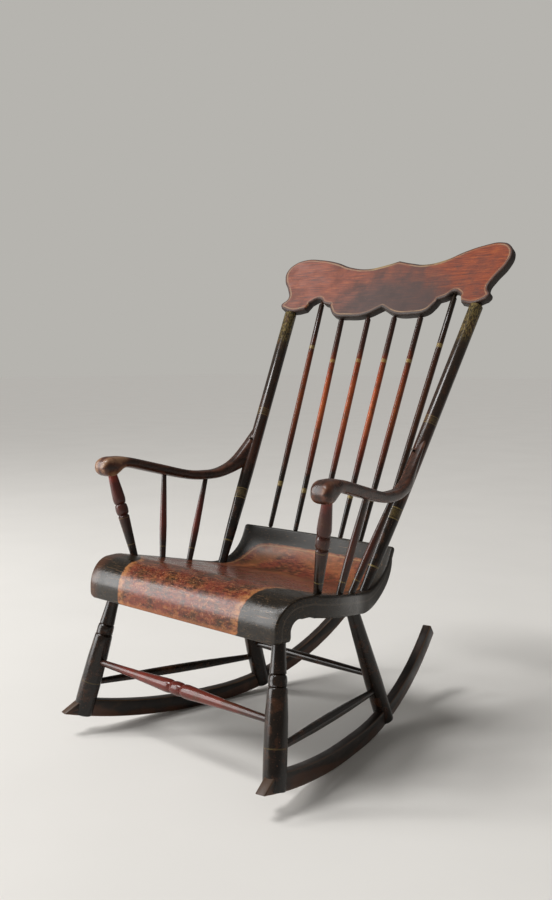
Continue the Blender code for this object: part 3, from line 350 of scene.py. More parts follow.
arm_post_paint = turned_paint("worn_red_arm_post_paint", (
    (0.0, "#1d1814"), (0.30, "#2a1e19"), (0.50, "#45251f"), (0.70, "#532a25"), (0.82, "#55241f"),
    (0.90, "#8a3529"), (1.0, "#8a3529")), ((0.20, 0.005, 0.5), (0.470, 0.004, 0.35)))
arm_spindle_paint = turned_paint("worn_red_arm_spindle_paint", (
    (0.0, "#211b16"), (0.24, "#33221b"), (0.42, "#6a2f24"), (0.62, "#5c2921"), (0.85, "#32231d"),
    (1.0, "#261e1a")), ((0.20, 0.006, 0.6),))
leg_paint = turned_paint("black_brown_leg_paint", BLACK_STOPS, ((0.228, 0.005, 0.2),))
plain_paint = turned_paint("black_brown_stretcher_paint", BLACK_STOPS)
stretcher_paint = turned_paint("worn_red_stretcher_paint", (
    (0.0, "#1e1511"), (0.09, "#3a1e18"), (0.24, "#6a281d"), (0.5, "#5a241d"), (0.72, "#6b2d22"),
    (0.90, "#3d2119"), (1.0, "#1c1411")))
print("gilt in linear light:", [round(value, 2) for value in linear(GILT)[:3]])

# %% [markdown]
# ## Turned outlines
# The outlines keep the frame's radii. Beads and V cuts, which were cut with the corner of a chisel, are
# drawn with enough points to catch a round highlight. All of them are shares of the piece's own length.

# %% Back posts and back spindles
POST_OUTLINE = ((0.0, 0.0098), (0.044, 0.0098), (0.115, 0.0121), (0.240, 0.0142), (0.355, 0.0150),
                (0.948, 0.0150), (0.951, 0.0135))
SPINDLE_OUTLINE = ((0.0, 0.0036), (0.036, 0.0036), (0.040, 0.0055), (0.200, 0.0066), (0.400, 0.0076),
                   (0.700, 0.0071), (0.955, 0.0066), (0.959, 0.0046), (1.0, 0.0046))
SPINDLE_REDNESS = (0.45, 0.85, 1.0, 0.95, 0.55, 0.10)
for side_name in SIDES:
    turn(f"back_post_{side_name}", POST_OUTLINE, post_paint)
for number, redness in enumerate(SPINDLE_REDNESS, 1):
    turn(f"back_spindle_{number}", SPINDLE_OUTLINE, spindle_paint, redness)
print("back: 2 posts,", len(SPINDLE_REDNESS), "spindles")

# %% Arm posts and arm spindles
ARM_POST_OUTLINE = (
    (0.0, 0.0080), (0.103, 0.0080), (0.250, 0.0098), (0.377, 0.0112), (0.470, 0.0123),
    *groove(0.498, 0.012, 0.0124, 0.0024), (0.522, 0.0134), (0.545, 0.0140), (0.568, 0.0140),
    (0.590, 0.0134), *groove(0.612, 0.010, 0.0125, 0.0022), (0.640, 0.0134), (0.667, 0.0140),
    (0.740, 0.0130), (0.897, 0.0102), (1.0, 0.0102))
ARM_SPINDLE_OUTLINE = ((0.0, 0.0068), (0.105, 0.0068), (0.250, 0.0076), (0.400, 0.0082), (0.700, 0.0069),
                       (0.930, 0.0056), (1.0, 0.0056))
ARM_POST_REDNESS = {"right": 0.60, "left": 1.0}
ARM_SPINDLE_REDNESS = {"right": 0.35, "left": 1.0}
for side_name in SIDES:
    turn(f"arm_post_{side_name}", ARM_POST_OUTLINE, arm_post_paint,
         ARM_POST_REDNESS[side_name])
    for letter in "ab":
        turn(f"arm_spindle_{letter}_{side_name}", ARM_SPINDLE_OUTLINE, arm_spindle_paint,
             ARM_SPINDLE_REDNESS[side_name])
print("arms: 2 posts, 4 spindles")

# %% Legs and stretchers
FRONT_LEG_OUTLINE = (
    (0.0, 0.0205), (0.0085, 0.0211), (0.101, 0.0217), (0.197, 0.0220), (0.395, 0.0211), (0.500, 0.0194),
    (0.545, 0.0186), *groove(0.556, 0.006, 0.0180, 0.0022), (0.566, 0.0172), (0.590, 0.0177),
    (0.614, 0.0168), *groove(0.625, 0.006, 0.0160, 0.0020), (0.640, 0.0156), (0.727, 0.0138),
    (0.780, 0.0130), (1.0, 0.0130))
REAR_LEG_OUTLINE = ((0.0, 0.0190), (0.010, 0.0195), (0.330, 0.0195), (0.610, 0.0170), (0.930, 0.0140),
                    (1.0, 0.0140))
STRETCHER_HALF = ((0.0, 0.0068), (0.043, 0.0068), (0.140, 0.0079), (0.250, 0.0092), (0.360, 0.0118),
                  (0.425, 0.0137), (0.448, 0.0140), (0.462, 0.0133), (0.470, 0.0115), (0.475, 0.0128))


def both_ways(half, *middle):
    """An outline that is the same from both ends, from one half and the points in its middle."""
    return (*half, *middle, *((1.0 - share, radius) for share, radius in reversed(half)))


FRONT_STRETCHER = both_ways(STRETCHER_HALF, *bead(0.5, 0.022, 0.0128, 0.0013))
SIDE_STRETCHER = both_ways(((0.0, 0.0068), (0.06, 0.0068), (0.32, 0.0095)), (0.50, 0.0100))
REAR_STRETCHER = both_ways(((0.0, 0.0068), (0.06, 0.0068), (0.32, 0.0084)), (0.50, 0.0088))
for side_name in SIDES:
    turn(f"front_leg_{side_name}", FRONT_LEG_OUTLINE, leg_paint)
    turn(f"rear_leg_{side_name}", REAR_LEG_OUTLINE, plain_paint)
    turn(f"side_stretcher_{side_name}", SIDE_STRETCHER, plain_paint)
turn("rear_stretcher", REAR_STRETCHER, plain_paint)
turn("front_stretcher", FRONT_STRETCHER, stretcher_paint)
print("turned pieces:", turned_count)

# %% [markdown]
# ## The seat's paint
# The field of the seat is grained in red and orange with dark streaks, and its ends and rear rim are black,
# with an ochre stripe along the border. Sitters polished the front roll and wore it through in flecks.
# Distances from the seat's end, along its top and from its rear rim are kept on the mesh. A smooth minimum
# of those distances gives the border its swept corners, as a painter's hand would.

# %% Seat field
FIELD_STOPS = ((0.32, "#2b140c"), (0.42, "#4c2215"), (0.50, "#68301e"), (0.58, "#7c4128"), (0.70, "#9c653e"))
PLANK_START = 0.1539            # along the seat's top from the lip's lower edge to the plank
PLANK_END = 0.3439
FLECK = 8.0                     # millimetres
BRUSH_STROKE = 420.0            # millimetres from one broad stroke to the next
REAR_DULLNESS = 0.22            # roughness that the rear roll has more than the polished front
seat_paint, tree, shader, own, streaks, blotches, specks = start_paint(
    "grained_red_seat_paint", stretch=(0.40, 1.0, 1.0), streak=6, blotch=42, gloss=(0.18, 0.32),
    relief_mm=0.55)
seat_marks = add(tree, 'Attribute', attribute_name="seat").outputs["Vector"]
upper = add(tree, 'Attribute', attribute_name="upper").outputs["Fac"]
from_end, run, from_rim = add(tree, 'SeparateXYZ', {"Vector": seat_marks}).outputs
on_roll = add(tree, 'MapRange', (run, PLANK_START - 0.02, PLANK_START + 0.06, 1.0, 0.25), **SMOOTH)
behind = add(tree, 'MapRange', (run, PLANK_END - 0.03, PLANK_END + 0.03), **SMOOTH)
sheen = shader.inputs["Roughness"].links[0].from_socket
duller = add(tree, 'Math', (behind, REAR_DULLNESS, sheen), operation='MULTIPLY_ADD')
tree.links.new(duller.outputs["Value"], shader.inputs["Roughness"])
flecked = add(tree, 'Mapping', {"Vector": own, "Scale": (0.55, 1.0, 1.0), "Location": (3.0, 0.0, 0.0)})
mottle = add(tree, 'TexNoise', {"Vector": flecked, "Scale": per_mm(FLECK), "Detail": 5.0, "Roughness": 0.7})
tan = add(tree, 'MapRange', (mottle, 0.53, 0.66, 0.0, 0.55), **SMOOTH)
worn_tan = add(tree, 'Math', (tan, on_roll), operation='MULTIPLY')
stroke_place = add(tree, 'Mapping', {"Vector": own, "Location": (0.02, 0.10, -0.36)})
strokes = add(tree, 'TexWave', {"Vector": stroke_place, "Scale": per_mm(BRUSH_STROKE), "Distortion": 7.0,
                                "Detail": 3.0, "Detail Scale": 2.0},
              wave_type='RINGS', rings_direction='SPHERICAL').outputs["Fac"]
bright = add(tree, 'MapRange', (strokes, 0.55, 0.95, 0.0, 0.32), **SMOOTH)
rear_stroke = add(tree, 'Math', (bright, behind), operation='MULTIPLY')
field = add(tree, 'ValToRGB', {"Fac": streaks})
colour_stops(field, FIELD_STOPS)
field = lay_coats(tree, field, 'SMOOTHSTEP', (blotches, 0.48, 0.62, 0.60, "#702717"),
                  (blotches, 0.49, 0.36, 0.70, "#33240f"))
field = lay_coats(tree, field, 'LINEAR', (specks, 0.47, 0.40, 0.75, "#26140a"))
for mask, coat in ((worn_tan, "#9d6438"), (rear_stroke, "#a2663c")):
    field = add(tree, 'Mix', {0: mask, 6: field, 7: linear(coat)}, data_type='RGBA')
print("seat field:", len(tree.nodes), "nodes")

# %% Seat borders
ROLL_MARGIN = 0.095             # width of the black ends on the front roll
PLANK_MARGIN = 0.030            # and beside the flat of the seat
RIM_MARGIN = 0.040              # dark along the rear roll's rim
SWEEP = 0.070                   # size of the swept corner between an end and the rim
WANDER = 0.0012                 # unsteadiness of the painter's hand
BORDER_EDGE = 0.0015
STRIPE = 0.022                  # the ochre stripe's faded inner edge
REAR_LINE = 0.005               # the thin line beside the rim's dark band
REAR_LINE_HALF = 0.0018
REAR_LINE_LEFT = 0.55
FAR_END = -0.235                # from here on outwards the far end is rubbed to brown
margin = add(tree, 'MapRange', (run, PLANK_START - 0.03, PLANK_START + 0.04, ROLL_MARGIN, PLANK_MARGIN),
             **SMOOTH)
past_end = add(tree, 'Math', (from_end, margin), operation='SUBTRACT')
past_rim = add(tree, 'Math', (from_rim, RIM_MARGIN), operation='SUBTRACT')
swept = add(tree, 'Math', (past_end, past_rim, SWEEP), operation='SMOOTH_MIN')
wander = add(tree, 'MapRange', (mottle, 0.3, 0.7, -WANDER, WANDER))
inside = add(tree, 'Math', (swept, wander), operation='ADD')
border = add(tree, 'MapRange', (inside, -BORDER_EDGE, BORDER_EDGE))
in_field = add(tree, 'Math', (border, upper), operation='MULTIPLY')
stripe_fade = add(tree, 'MapRange', (inside, STRIPE / 4, STRIPE, 0.9, 0.0), **SMOOTH)
stripe_left = add(tree, 'MapRange', (mottle, 0.36, 0.56), **SMOOTH)
broken_stripe = add(tree, 'Math', (stripe_fade, stripe_left), operation='MULTIPLY')
stripe = add(tree, 'Math', (broken_stripe, on_roll), operation='MULTIPLY')
near_line = add(tree, 'Math', (inside, REAR_LINE, REAR_LINE_HALF), operation='COMPARE')
rear_only = add(tree, 'Math', (near_line, behind), operation='MULTIPLY')
rear_line = add(tree, 'Math', (rear_only, REAR_LINE_LEFT), operation='MULTIPLY')
for mask, coat in ((stripe, "#9e683b"), (rear_line, "#9a744c")):
    field = add(tree, 'Mix', {0: mask, 6: field, 7: linear(coat)}, data_type='RGBA')
across = add(tree, 'SeparateXYZ', {"Vector": own}).outputs["X"]
far = add(tree, 'MapRange', (across, FAR_END, FAR_END - 0.03, 0.0, 0.6), **SMOOTH)
rubbed_far = add(tree, 'Math', (far, on_roll), operation='MULTIPLY')
at_rim = add(tree, 'MapRange', (from_rim, 0.05, 0.10, 0.75, 0.0), **SMOOTH)
ends = add(tree, 'ValToRGB', {"Fac": streaks})
colour_stops(ends, ((0.35, "#130e08"), (0.55, "#1e170e"), (0.72, "#302617")))
for mask, coat in ((rubbed_far, "#53301f"), (at_rim, "#23211c")):
    ends = add(tree, 'Mix', {0: mask, 6: ends, 7: linear(coat)}, data_type='RGBA')
colour = add(tree, 'Mix', {0: in_field, 6: ends, 7: field}, data_type='RGBA')
print("seat borders:", len(tree.nodes), "nodes")

# %% Seat wear
SCRATCH = 2.2                   # millimetres
END_HIGHLIGHT_HEIGHT = 0.60                 # height of a pale line painted on the seat's ends as a highlight of the rounded top edge, as a share of the thickness
END_HIGHLIGHT_HALF = 0.045
END_HIGHLIGHT_STRENGTH = 0.18
END_FACE = 0.001                # nearer to the end than this is the end itself
fine_place = add(tree, 'Mapping', {"Vector": own, "Scale": (0.05, 1.0, 1.0)})
scratches = add(tree, 'TexNoise', {"Vector": fine_place, "Scale": per_mm(SCRATCH), "Detail": 2.0})
colour = lay_coats(tree, colour, 'LINEAR', (scratches, 0.64, 0.72, 0.35, "#9a7452"))
chipped = add(tree, 'MapRange', (specks, 0.61, 0.67, 0.0, 0.8))
chips = add(tree, 'Math', (chipped, on_roll), operation='MULTIPLY')
fewer = add(tree, 'MapRange', (in_field, 0.0, 1.0, 0.35))
fewer_chips = add(tree, 'Math', (chips, fewer), operation='MULTIPLY')
low_edge = add(tree, 'MapRange', (run, 0.002, 0.012, 0.55, 0.0), **SMOOTH)
low_worn = add(tree, 'Math', (low_edge, in_field), operation='MULTIPLY')
# A painted highlight: a pale line across the seat's ends where the rounded top edge would catch the light
highlight_height_band = add(tree, 'Math', (upper, END_HIGHLIGHT_HEIGHT, END_HIGHLIGHT_HALF), operation='COMPARE')
on_end = add(tree, 'Math', (from_end, END_FACE), operation='LESS_THAN')
painted_end_highlight = add(tree, 'Math', (highlight_height_band, on_end), operation='MULTIPLY')
faint = add(tree, 'Math', (painted_end_highlight, END_HIGHLIGHT_STRENGTH), operation='MULTIPLY')
for mask, coat in ((fewer_chips, "#b8906a"), (low_worn, "#a5673c"), (faint, "#75695c")):
    colour = add(tree, 'Mix', {0: mask, 6: colour, 7: linear(coat)}, data_type='RGBA')
tree.links.new(colour.outputs[2], shader.inputs["Base Color"])
print("seat paint:", len(tree.nodes), "nodes")

# %% [markdown]
# ## The seat
# Three boards are glued edge to edge: a plank that falls to the rear, a roll that turns down in front and
# a roll that turns up behind. Each is a side view pulled out to both ends. The side view of a roll is one
# edge, as long as the board is thick, spun about the roll's centre. The pulled-out board is then sliced, and
# the slices are widened to the seat's plan, which is broadest at the arm posts.

# %% Seat plan and side view
SEAT_PITCH = radians(11.3)
SEAT_THICKNESS = 0.043
PLANK_RUN = PLANK_END - PLANK_START
CROWN_RADIUS = 0.103
CROWN_FLAT = 0.020
FRONT_ROLL_RADIUS = 0.058
FRONT_LIP_DROP = 0.0225
SEAT_HALF_FRONT = 0.270
SEAT_HALF_ARMS = 0.288
SEAT_HALF_REAR = 0.218
REAR_FLAT = 0.024               # the rear board is flat for this long before it turns up
REAR_RUN = PLANK_RUN + REAR_FLAT
REAR_ROLL_RADIUS = 0.095
SEAT_SLICES = 32
SEAT_ROUNDING = 0.006
FAR_FROM_RIM = 1.0
DOWN_SEAT = Vector((0.0, cos(SEAT_PITCH), -sin(SEAT_PITCH)))
SEAT_NORMAL = Vector((0.0, sin(SEAT_PITCH), cos(SEAT_PITCH)))
plank_low, plank_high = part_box("seat_plank")
PLANK_FRONT = Vector((0.0, plank_low.y + SEAT_THICKNESS * sin(SEAT_PITCH), plank_high.z))
CROWN_CENTRE = PLANK_FRONT - SEAT_NORMAL * CROWN_RADIUS
ROLL_CENTRE = CROWN_CENTRE + Vector((0.0, -CROWN_FLAT, CROWN_RADIUS - FRONT_ROLL_RADIUS))
LIP_FRONT_Y = ROLL_CENTRE.y - FRONT_ROLL_RADIUS
LIP_HEIGHT = ROLL_CENTRE.z - FRONT_LIP_DROP
LIP_CORNER = 0.012              # the lip's lower corners are rounded off
REAR_CORNER_Y = (PLANK_FRONT + DOWN_SEAT * (REAR_RUN + REAR_ROLL_RADIUS)).y
WIDEST_BEHIND = 0.015           # from the plank's front edge back to the seat's widest place
SEAT_WIDEST_Y = PLANK_FRONT.y + WIDEST_BEHIND


def seat_half_width(y):
    """Half the seat's width at y."""
    if y < SEAT_WIDEST_Y:
        share = (SEAT_WIDEST_Y - y) / (SEAT_WIDEST_Y - LIP_FRONT_Y)
        return SEAT_HALF_ARMS - (SEAT_HALF_ARMS - SEAT_HALF_FRONT) * share ** 2
    share = min(1.0, (y - SEAT_WIDEST_Y) / (REAR_CORNER_Y - SEAT_WIDEST_Y))
    return SEAT_HALF_ARMS - (SEAT_HALF_ARMS - SEAT_HALF_REAR) * share ** 2 * (3 - 2 * share)


def start_board(run):
    """A bmesh with one edge through the board's thickness, at a run along the plank, and its mark layers."""
    bm = bmesh.new()
    marks = bm.verts.layers.float_vector.new("seat")
    upper = bm.verts.layers.float.new("upper")
    top = bm.verts.new(PLANK_FRONT + DOWN_SEAT * run)
    under = bm.verts.new(top.co - SEAT_NORMAL * SEAT_THICKNESS)
    top[upper] = 1.0
    for vert in (top, under):
        vert[marks] = (0.0, PLANK_START + run, FAR_FROM_RIM)
    return bm, marks, upper, bm.edges.new((top, under))


def new_points(made):
    """The points among what an operator made."""
    return [item for item in made["geom"] if isinstance(item, bmesh.types.BMVert)]


def extend_board(bm, edge, step):
    """Carry the board on by one step from its end edge. Returns the new end edge."""
    made = bmesh.ops.extrude_edge_only(bm, edges=[edge])
    points = new_points(made)
    bmesh.ops.translate(bm, verts=points, vec=step)
    return next(item for item in made["geom"] if isinstance(item, bmesh.types.BMEdge)
                and all(vert in points for vert in item.verts))


def spin_board(bm, edge, centre, angle, steps):
    """Carry the board on round a centre. Returns the new end edge."""
    spun = bmesh.ops.spin(bm, geom=[*edge.verts, edge], cent=centre, axis=(1, 0, 0), angle=angle, steps=steps,
                          use_merge=False)
    return next(item for item in spun["geom_last"] if isinstance(item, bmesh.types.BMEdge))


print("seat: plank from y", round(PLANK_FRONT.y * 1000), "mm, lip down to", round(LIP_HEIGHT * 1000), "mm")

# %% Pull out and ease a board
SEAT_CORNER = radians(50)       # edges sharper than this are rounded


def pull_out(bm, marks, bow=0.0):
    """Pull a side view out to both ends of the seat, bow it and give it the seat's plan."""
    bmesh.ops.translate(bm, verts=bm.verts, vec=(-1.0, 0.0, 0.0))
    made = bmesh.ops.extrude_face_region(bm, geom=bm.faces[:])
    bmesh.ops.translate(bm, verts=new_points(made), vec=(2.0, 0.0, 0.0))
    for i in range(1, SEAT_SLICES):
        bmesh.ops.bisect_plane(bm, geom=bm.verts[:] + bm.edges[:] + bm.faces[:], dist=MERGE,
                               plane_co=(2.0 * i / SEAT_SLICES - 1.0, 0.0, 0.0), plane_no=(1.0, 0.0, 0.0))
    for vert in bm.verts:
        across = vert.co.x
        if vert[marks].y > PLANK_END + MERGE:
            vert.co += DOWN_SEAT * (bow * (1.0 - across ** 2))
        above_lip = 1.0
        if vert[marks].y < LIP_CORNER:
            above_lip = min(1.0, max(0.0, (vert.co.z - LIP_HEIGHT) / LIP_CORNER))
        half_width = seat_half_width(vert.co.y) - LIP_CORNER * (1.0 - sqrt(1.0 - (1.0 - above_lip) ** 2))
        vert.co.x = across * half_width
        vert[marks].x = (1.0 - abs(across)) * half_width
    bmesh.ops.recalc_face_normals(bm, faces=bm.faces)


def ease_edges(bm, marks, seams):
    """Round the board's corners, but not the edges of its glued faces."""
    sharp = [edge for edge in bm.edges if edge.is_manifold and edge.calc_face_angle() > SEAT_CORNER
             and not all(any(abs(vert[marks].y - seam) < MERGE for seam in seams) for vert in edge.verts)]
    bmesh.ops.bevel(bm, geom=sharp, offset=SEAT_ROUNDING, offset_type='OFFSET', affect='EDGES', segments=4,
                    profile=0.5, material=-1, clamp_overlap=True)


PLANK_STEPS = 10
bm, marks, upper_mark, end = start_board(0.0)
for i in range(1, PLANK_STEPS + 1):
    end = extend_board(bm, end, DOWN_SEAT * (PLANK_RUN / PLANK_STEPS))
    for vert in end.verts:
        vert[marks] = (0.0, PLANK_START + PLANK_RUN * i / PLANK_STEPS, FAR_FROM_RIM)
pull_out(bm, marks)
ease_edges(bm, marks, (PLANK_START, PLANK_END))
finish_piece("seat_plank", bm, seat_paint)
print("seat plank:", round(PLANK_RUN * 1000), "mm deep")

# %% Seat front roll
FRONT_LIP_THICKNESS = 0.033
FRONT_TURN = pi / 2 + SEAT_PITCH
LIP_STEPS = 6
CROWN_STEPS = 6
ROLL_STEPS = 24
bm, marks, upper_mark, end = start_board(0.0)
end = spin_board(bm, end, CROWN_CENTRE, SEAT_PITCH, CROWN_STEPS)
crown = bm.verts[:]
end = extend_board(bm, end, Vector((0.0, -CROWN_FLAT, 0.0)))
end = spin_board(bm, end, ROLL_CENTRE, pi / 2, ROLL_STEPS)
for vert in bm.verts:
    centre, radius = (CROWN_CENTRE, CROWN_RADIUS) if vert in crown else (ROLL_CENTRE, FRONT_ROLL_RADIUS)
    spoke = (vert.co - centre).normalized()
    turned_by = SEAT_NORMAL.angle(spoke)
    if vert in crown:
        vert[marks] = (0.0, PLANK_START - CROWN_RADIUS * turned_by, FAR_FROM_RIM)
    else:
        vert[marks] = (0.0, FRONT_LIP_DROP + FRONT_ROLL_RADIUS * (FRONT_TURN - turned_by), FAR_FROM_RIM)
    if vert[upper_mark] < 0.5:
        thickness = SEAT_THICKNESS + (FRONT_LIP_THICKNESS - SEAT_THICKNESS) * sqrt(turned_by / FRONT_TURN)
        vert.co = centre + spoke * (radius - thickness)
for i in range(1, LIP_STEPS + 1):
    end = extend_board(bm, end, Vector((0.0, 0.0, -FRONT_LIP_DROP / LIP_STEPS)))
    for vert in end.verts:
        vert[marks] = (0.0, FRONT_LIP_DROP * (1 - i / LIP_STEPS), FAR_FROM_RIM)
pull_out(bm, marks)
ease_edges(bm, marks, (PLANK_START,))
finish_piece("seat_front_roll", bm, seat_paint)
print("front roll:", round(FRONT_ROLL_RADIUS * 1000), "mm radius")

# %% Seat rear roll
REAR_ROLL_TURN = radians(78)
REAR_ROLL_RISE = 0.023
REAR_RIM_THICKNESS = 0.014
REAR_BOW = 0.052
bm, marks, upper_mark, end = start_board(PLANK_RUN)
end = extend_board(bm, end, DOWN_SEAT * (REAR_RUN - PLANK_RUN))
rear_centre = PLANK_FRONT + DOWN_SEAT * REAR_RUN + SEAT_NORMAL * REAR_ROLL_RADIUS
rear_arc = REAR_ROLL_RADIUS * REAR_ROLL_TURN
for vert in end.verts:
    vert[marks] = (0.0, PLANK_START + REAR_RUN, rear_arc + REAR_ROLL_RISE)
end = spin_board(bm, end, rear_centre, REAR_ROLL_TURN, ROLL_STEPS)
for vert in bm.verts:
    spoke = (vert.co - rear_centre).normalized()
    share = (atan2(spoke.y, -spoke.z) + SEAT_PITCH) / REAR_ROLL_TURN
    if share > MERGE:
        arc_left = rear_arc * (1 - share)
        vert[marks] = (0.0, PLANK_START + REAR_RUN + rear_arc * share, arc_left + REAR_ROLL_RISE)
        if vert[upper_mark] < 0.5:
            thickness = SEAT_THICKNESS - (SEAT_THICKNESS - REAR_RIM_THICKNESS) * share ** 2
            vert.co = rear_centre + spoke * (REAR_ROLL_RADIUS + thickness)
lean = REAR_ROLL_TURN - SEAT_PITCH
end = extend_board(bm, end, Vector((0.0, cos(lean), sin(lean))) * REAR_ROLL_RISE)
for vert in end.verts:
    vert[marks] = (0.0, PLANK_START + REAR_RUN + rear_arc + REAR_ROLL_RISE, 0.0)
pull_out(bm, marks, REAR_BOW)
ease_edges(bm, marks, (PLANK_END,))
finish_piece("seat_rear_roll", bm, seat_paint)
print("rear roll:", round(REAR_ROLL_RADIUS * 1000), "mm radius, bowed", round(REAR_BOW * 1000), "mm")

# %% [markdown]
# ## The crest's paint
# The crest is red at both ends and clouded with lamp-black low in the middle, as if smoked. Its rounded
# front corner is dark, and beside it runs a line that dusters rubbed pale. Places across and up the board,
# and the distance from its outline, are kept on the mesh before the board is bent, so the clouding stays
# where it was brushed.

# %% Crest paint
CREST_ROUND = 0.0045            # round-over of the front corner
SOOT_CENTRE = 0.035             # the smoke lies a little to one side
LIT_AND_RUBBED_DIP = 0.085            # from there to the dips in the top edge, rubbed pale and given a painted highlight
PALE_LINE = 0.0074              # from the outline to the rubbed line
PALE_LINE_HALF = 0.0016
crest_paint, tree, shader, own, streaks, blotches, specks = start_paint(
    "smoked_red_crest_paint", stretch=(0.10, 1.0, 1.0), streak=5, blotch=40, gloss=(0.42, 0.58),
    relief_mm=0.25)
across, up = add(tree, 'SeparateXYZ', {"Vector": own}).outputs[:2]
from_edge = add(tree, 'Attribute', attribute_name="edge").outputs["Fac"]
front = add(tree, 'Attribute', attribute_name="front").outputs["Fac"]
off_centre = add(tree, 'Math', (across, SOOT_CENTRE), operation='SUBTRACT')
out = add(tree, 'Math', (off_centre,), operation='ABSOLUTE')
inner = add(tree, 'MapRange', (out, 0.03, 0.25, 0.75, 0.0), **SMOOTH)
low = add(tree, 'MapRange', (up, 0.02, 0.13, 0.30, -0.30), **SMOOTH)
cloudy = add(tree, 'MapRange', (blotches, 0.3, 0.7, -0.18, 0.18))
inner_low = add(tree, 'Math', (inner, low), operation='ADD')
soot = add(tree, 'Math', (inner_low, cloudy), operation='ADD')
reds = add(tree, 'ValToRGB', {"Fac": streaks})
colour_stops(reds, ((0.30, "#511e0b"), (0.45, "#6c2c12"), (0.58, "#803916"), (0.74, "#955122")))
colour = lay_coats(tree, reds, 'SMOOTHSTEP', (blotches, 0.46, 0.66, 0.40, "#4c2113"),
                   (soot, 0.0, 1.0, 0.84, "#2f2725"), (streaks, 0.46, 0.28, 0.40, "#38241d"))
colour = lay_coats(tree, colour, 'LINEAR', (from_edge, 0.0056, 0.0042, 0.85, "#332b26"))
near_line = add(tree, 'Math', (from_edge, PALE_LINE, PALE_LINE_HALF), operation='COMPARE')
broken = add(tree, 'MapRange', (blotches, 0.40, 0.60, 0.30, 0.85), **SMOOTH)
line = add(tree, 'Math', (near_line, broken), operation='MULTIPLY')
# Pale ochre on the top edge at the dips: partly rubbed wear, partly a painted highlight of the rounded edge
off_dip = add(tree, 'Math', (out, LIT_AND_RUBBED_DIP), operation='SUBTRACT')
from_dip = add(tree, 'Math', (off_dip,), operation='ABSOLUTE')
dip = add(tree, 'MapRange', (from_dip, 0.015, 0.060, 0.95, 0.0), **SMOOTH)
top_rim = add(tree, 'MapRange', (from_edge, 0.004, 0.010, 1.0, 0.0), **SMOOTH)
high = add(tree, 'MapRange', (up, 0.100, 0.110))
top_dip = add(tree, 'Math', (dip, high), operation='MULTIPLY')
rubbed_and_highlit = add(tree, 'Math', (top_dip, top_rim), operation='MULTIPLY')
bright = add(tree, 'Math', (rubbed_and_highlit, broken), operation='MULTIPLY')
for mask, coat in ((line, "#8a6f54"), (bright, "#967d51")):
    colour = add(tree, 'Mix', {0: mask, 6: colour, 7: linear(coat)}, data_type='RGBA')
colour = add(tree, 'Mix', {0: front, 6: linear("#261e19"), 7: colour}, data_type='RGBA')
colour = lay_coats(tree, colour, 'LINEAR', (specks, 0.67, 0.71, 0.55, "#9a7355"))
tree.links.new(colour.outputs[2], shader.inputs["Base Color"])
print("crest paint:", len(tree.nodes), "nodes")

# %% [markdown]
# ## The crest
# The crest was sawn to its scrolled outline and then bent. A curve with automatic handles draws the sawn
# outline through a few points, the flat shape is extruded to the board's thickness, and its corners are
# eased. A grid of cuts then gives the board enough points to bend and to carry its paint marks.

# %% Sawn outline of the crest
# Half the outline (across, up), from the notch under its middle round to the peak on top
CREST_OUTLINE = (
    (0.000, 0.004, "sharp"), (0.045, -0.017, "smooth"), (0.095, -0.020, "smooth"),
    (0.138, -0.013, "smooth"), (0.155, 0.006, "sharp"), (0.160, 0.018, "sharp"),
    (0.181, 0.024, "smooth"), (0.200, 0.038, "smooth"), (0.222, 0.027, "sharp"),
    (0.231, 0.007, "sharp"), (0.264, 0.001, "smooth"), (0.300, 0.012, "sharp"),
    (0.306, 0.023, "smooth"), (0.294, 0.042, "smooth"), (0.304, 0.068, "smooth"),
    (0.325, 0.100, "smooth"), (0.331, 0.130, "smooth"), (0.317, 0.154, "smooth"),
    (0.288, 0.166, "smooth"), (0.240, 0.163, "smooth"), (0.190, 0.151, "smooth"),
    (0.140, 0.132, "smooth"), (0.085, 0.124, "smooth"), (0.040, 0.131, "smooth"),
    (0.000, 0.141, "sharp"),
)
OUTLINE_STEPS = 12              # points of the curve from one of these to the next
CREST_HALF_WIDTH = max(x for x, up, kind in CREST_OUTLINE)
whole_outline = [*CREST_OUTLINE, *((-x, up, kind) for x, up, kind in reversed(CREST_OUTLINE[1:-1]))]
curve = bpy.data.curves.new("crest_outline", 'CURVE')
curve.dimensions = '2D'
curve.fill_mode = 'NONE'
curve.resolution_u = OUTLINE_STEPS
spline = curve.splines.new('BEZIER')
spline.use_cyclic_u = True
spline.bezier_points.add(len(whole_outline) - 1)
for knot, (x, up, kind) in zip(spline.bezier_points, whole_outline):
    knot.co = (x, up, 0.0)
    knot.handle_left_type = 'AUTO' if kind == "smooth" else 'VECTOR'
    knot.handle_right_type = knot.handle_left_type
drawn = bpy.data.objects.new("crest_outline", curve)
bpy.context.scene.collection.objects.link(drawn)
bpy.context.view_layer.update()
sawn = bpy.data.meshes.new_from_object(drawn.evaluated_get(bpy.context.evaluated_depsgraph_get()))
bpy.data.objects.remove(drawn, do_unlink=True)
print("crest outline:", len(sawn.vertices), "points")

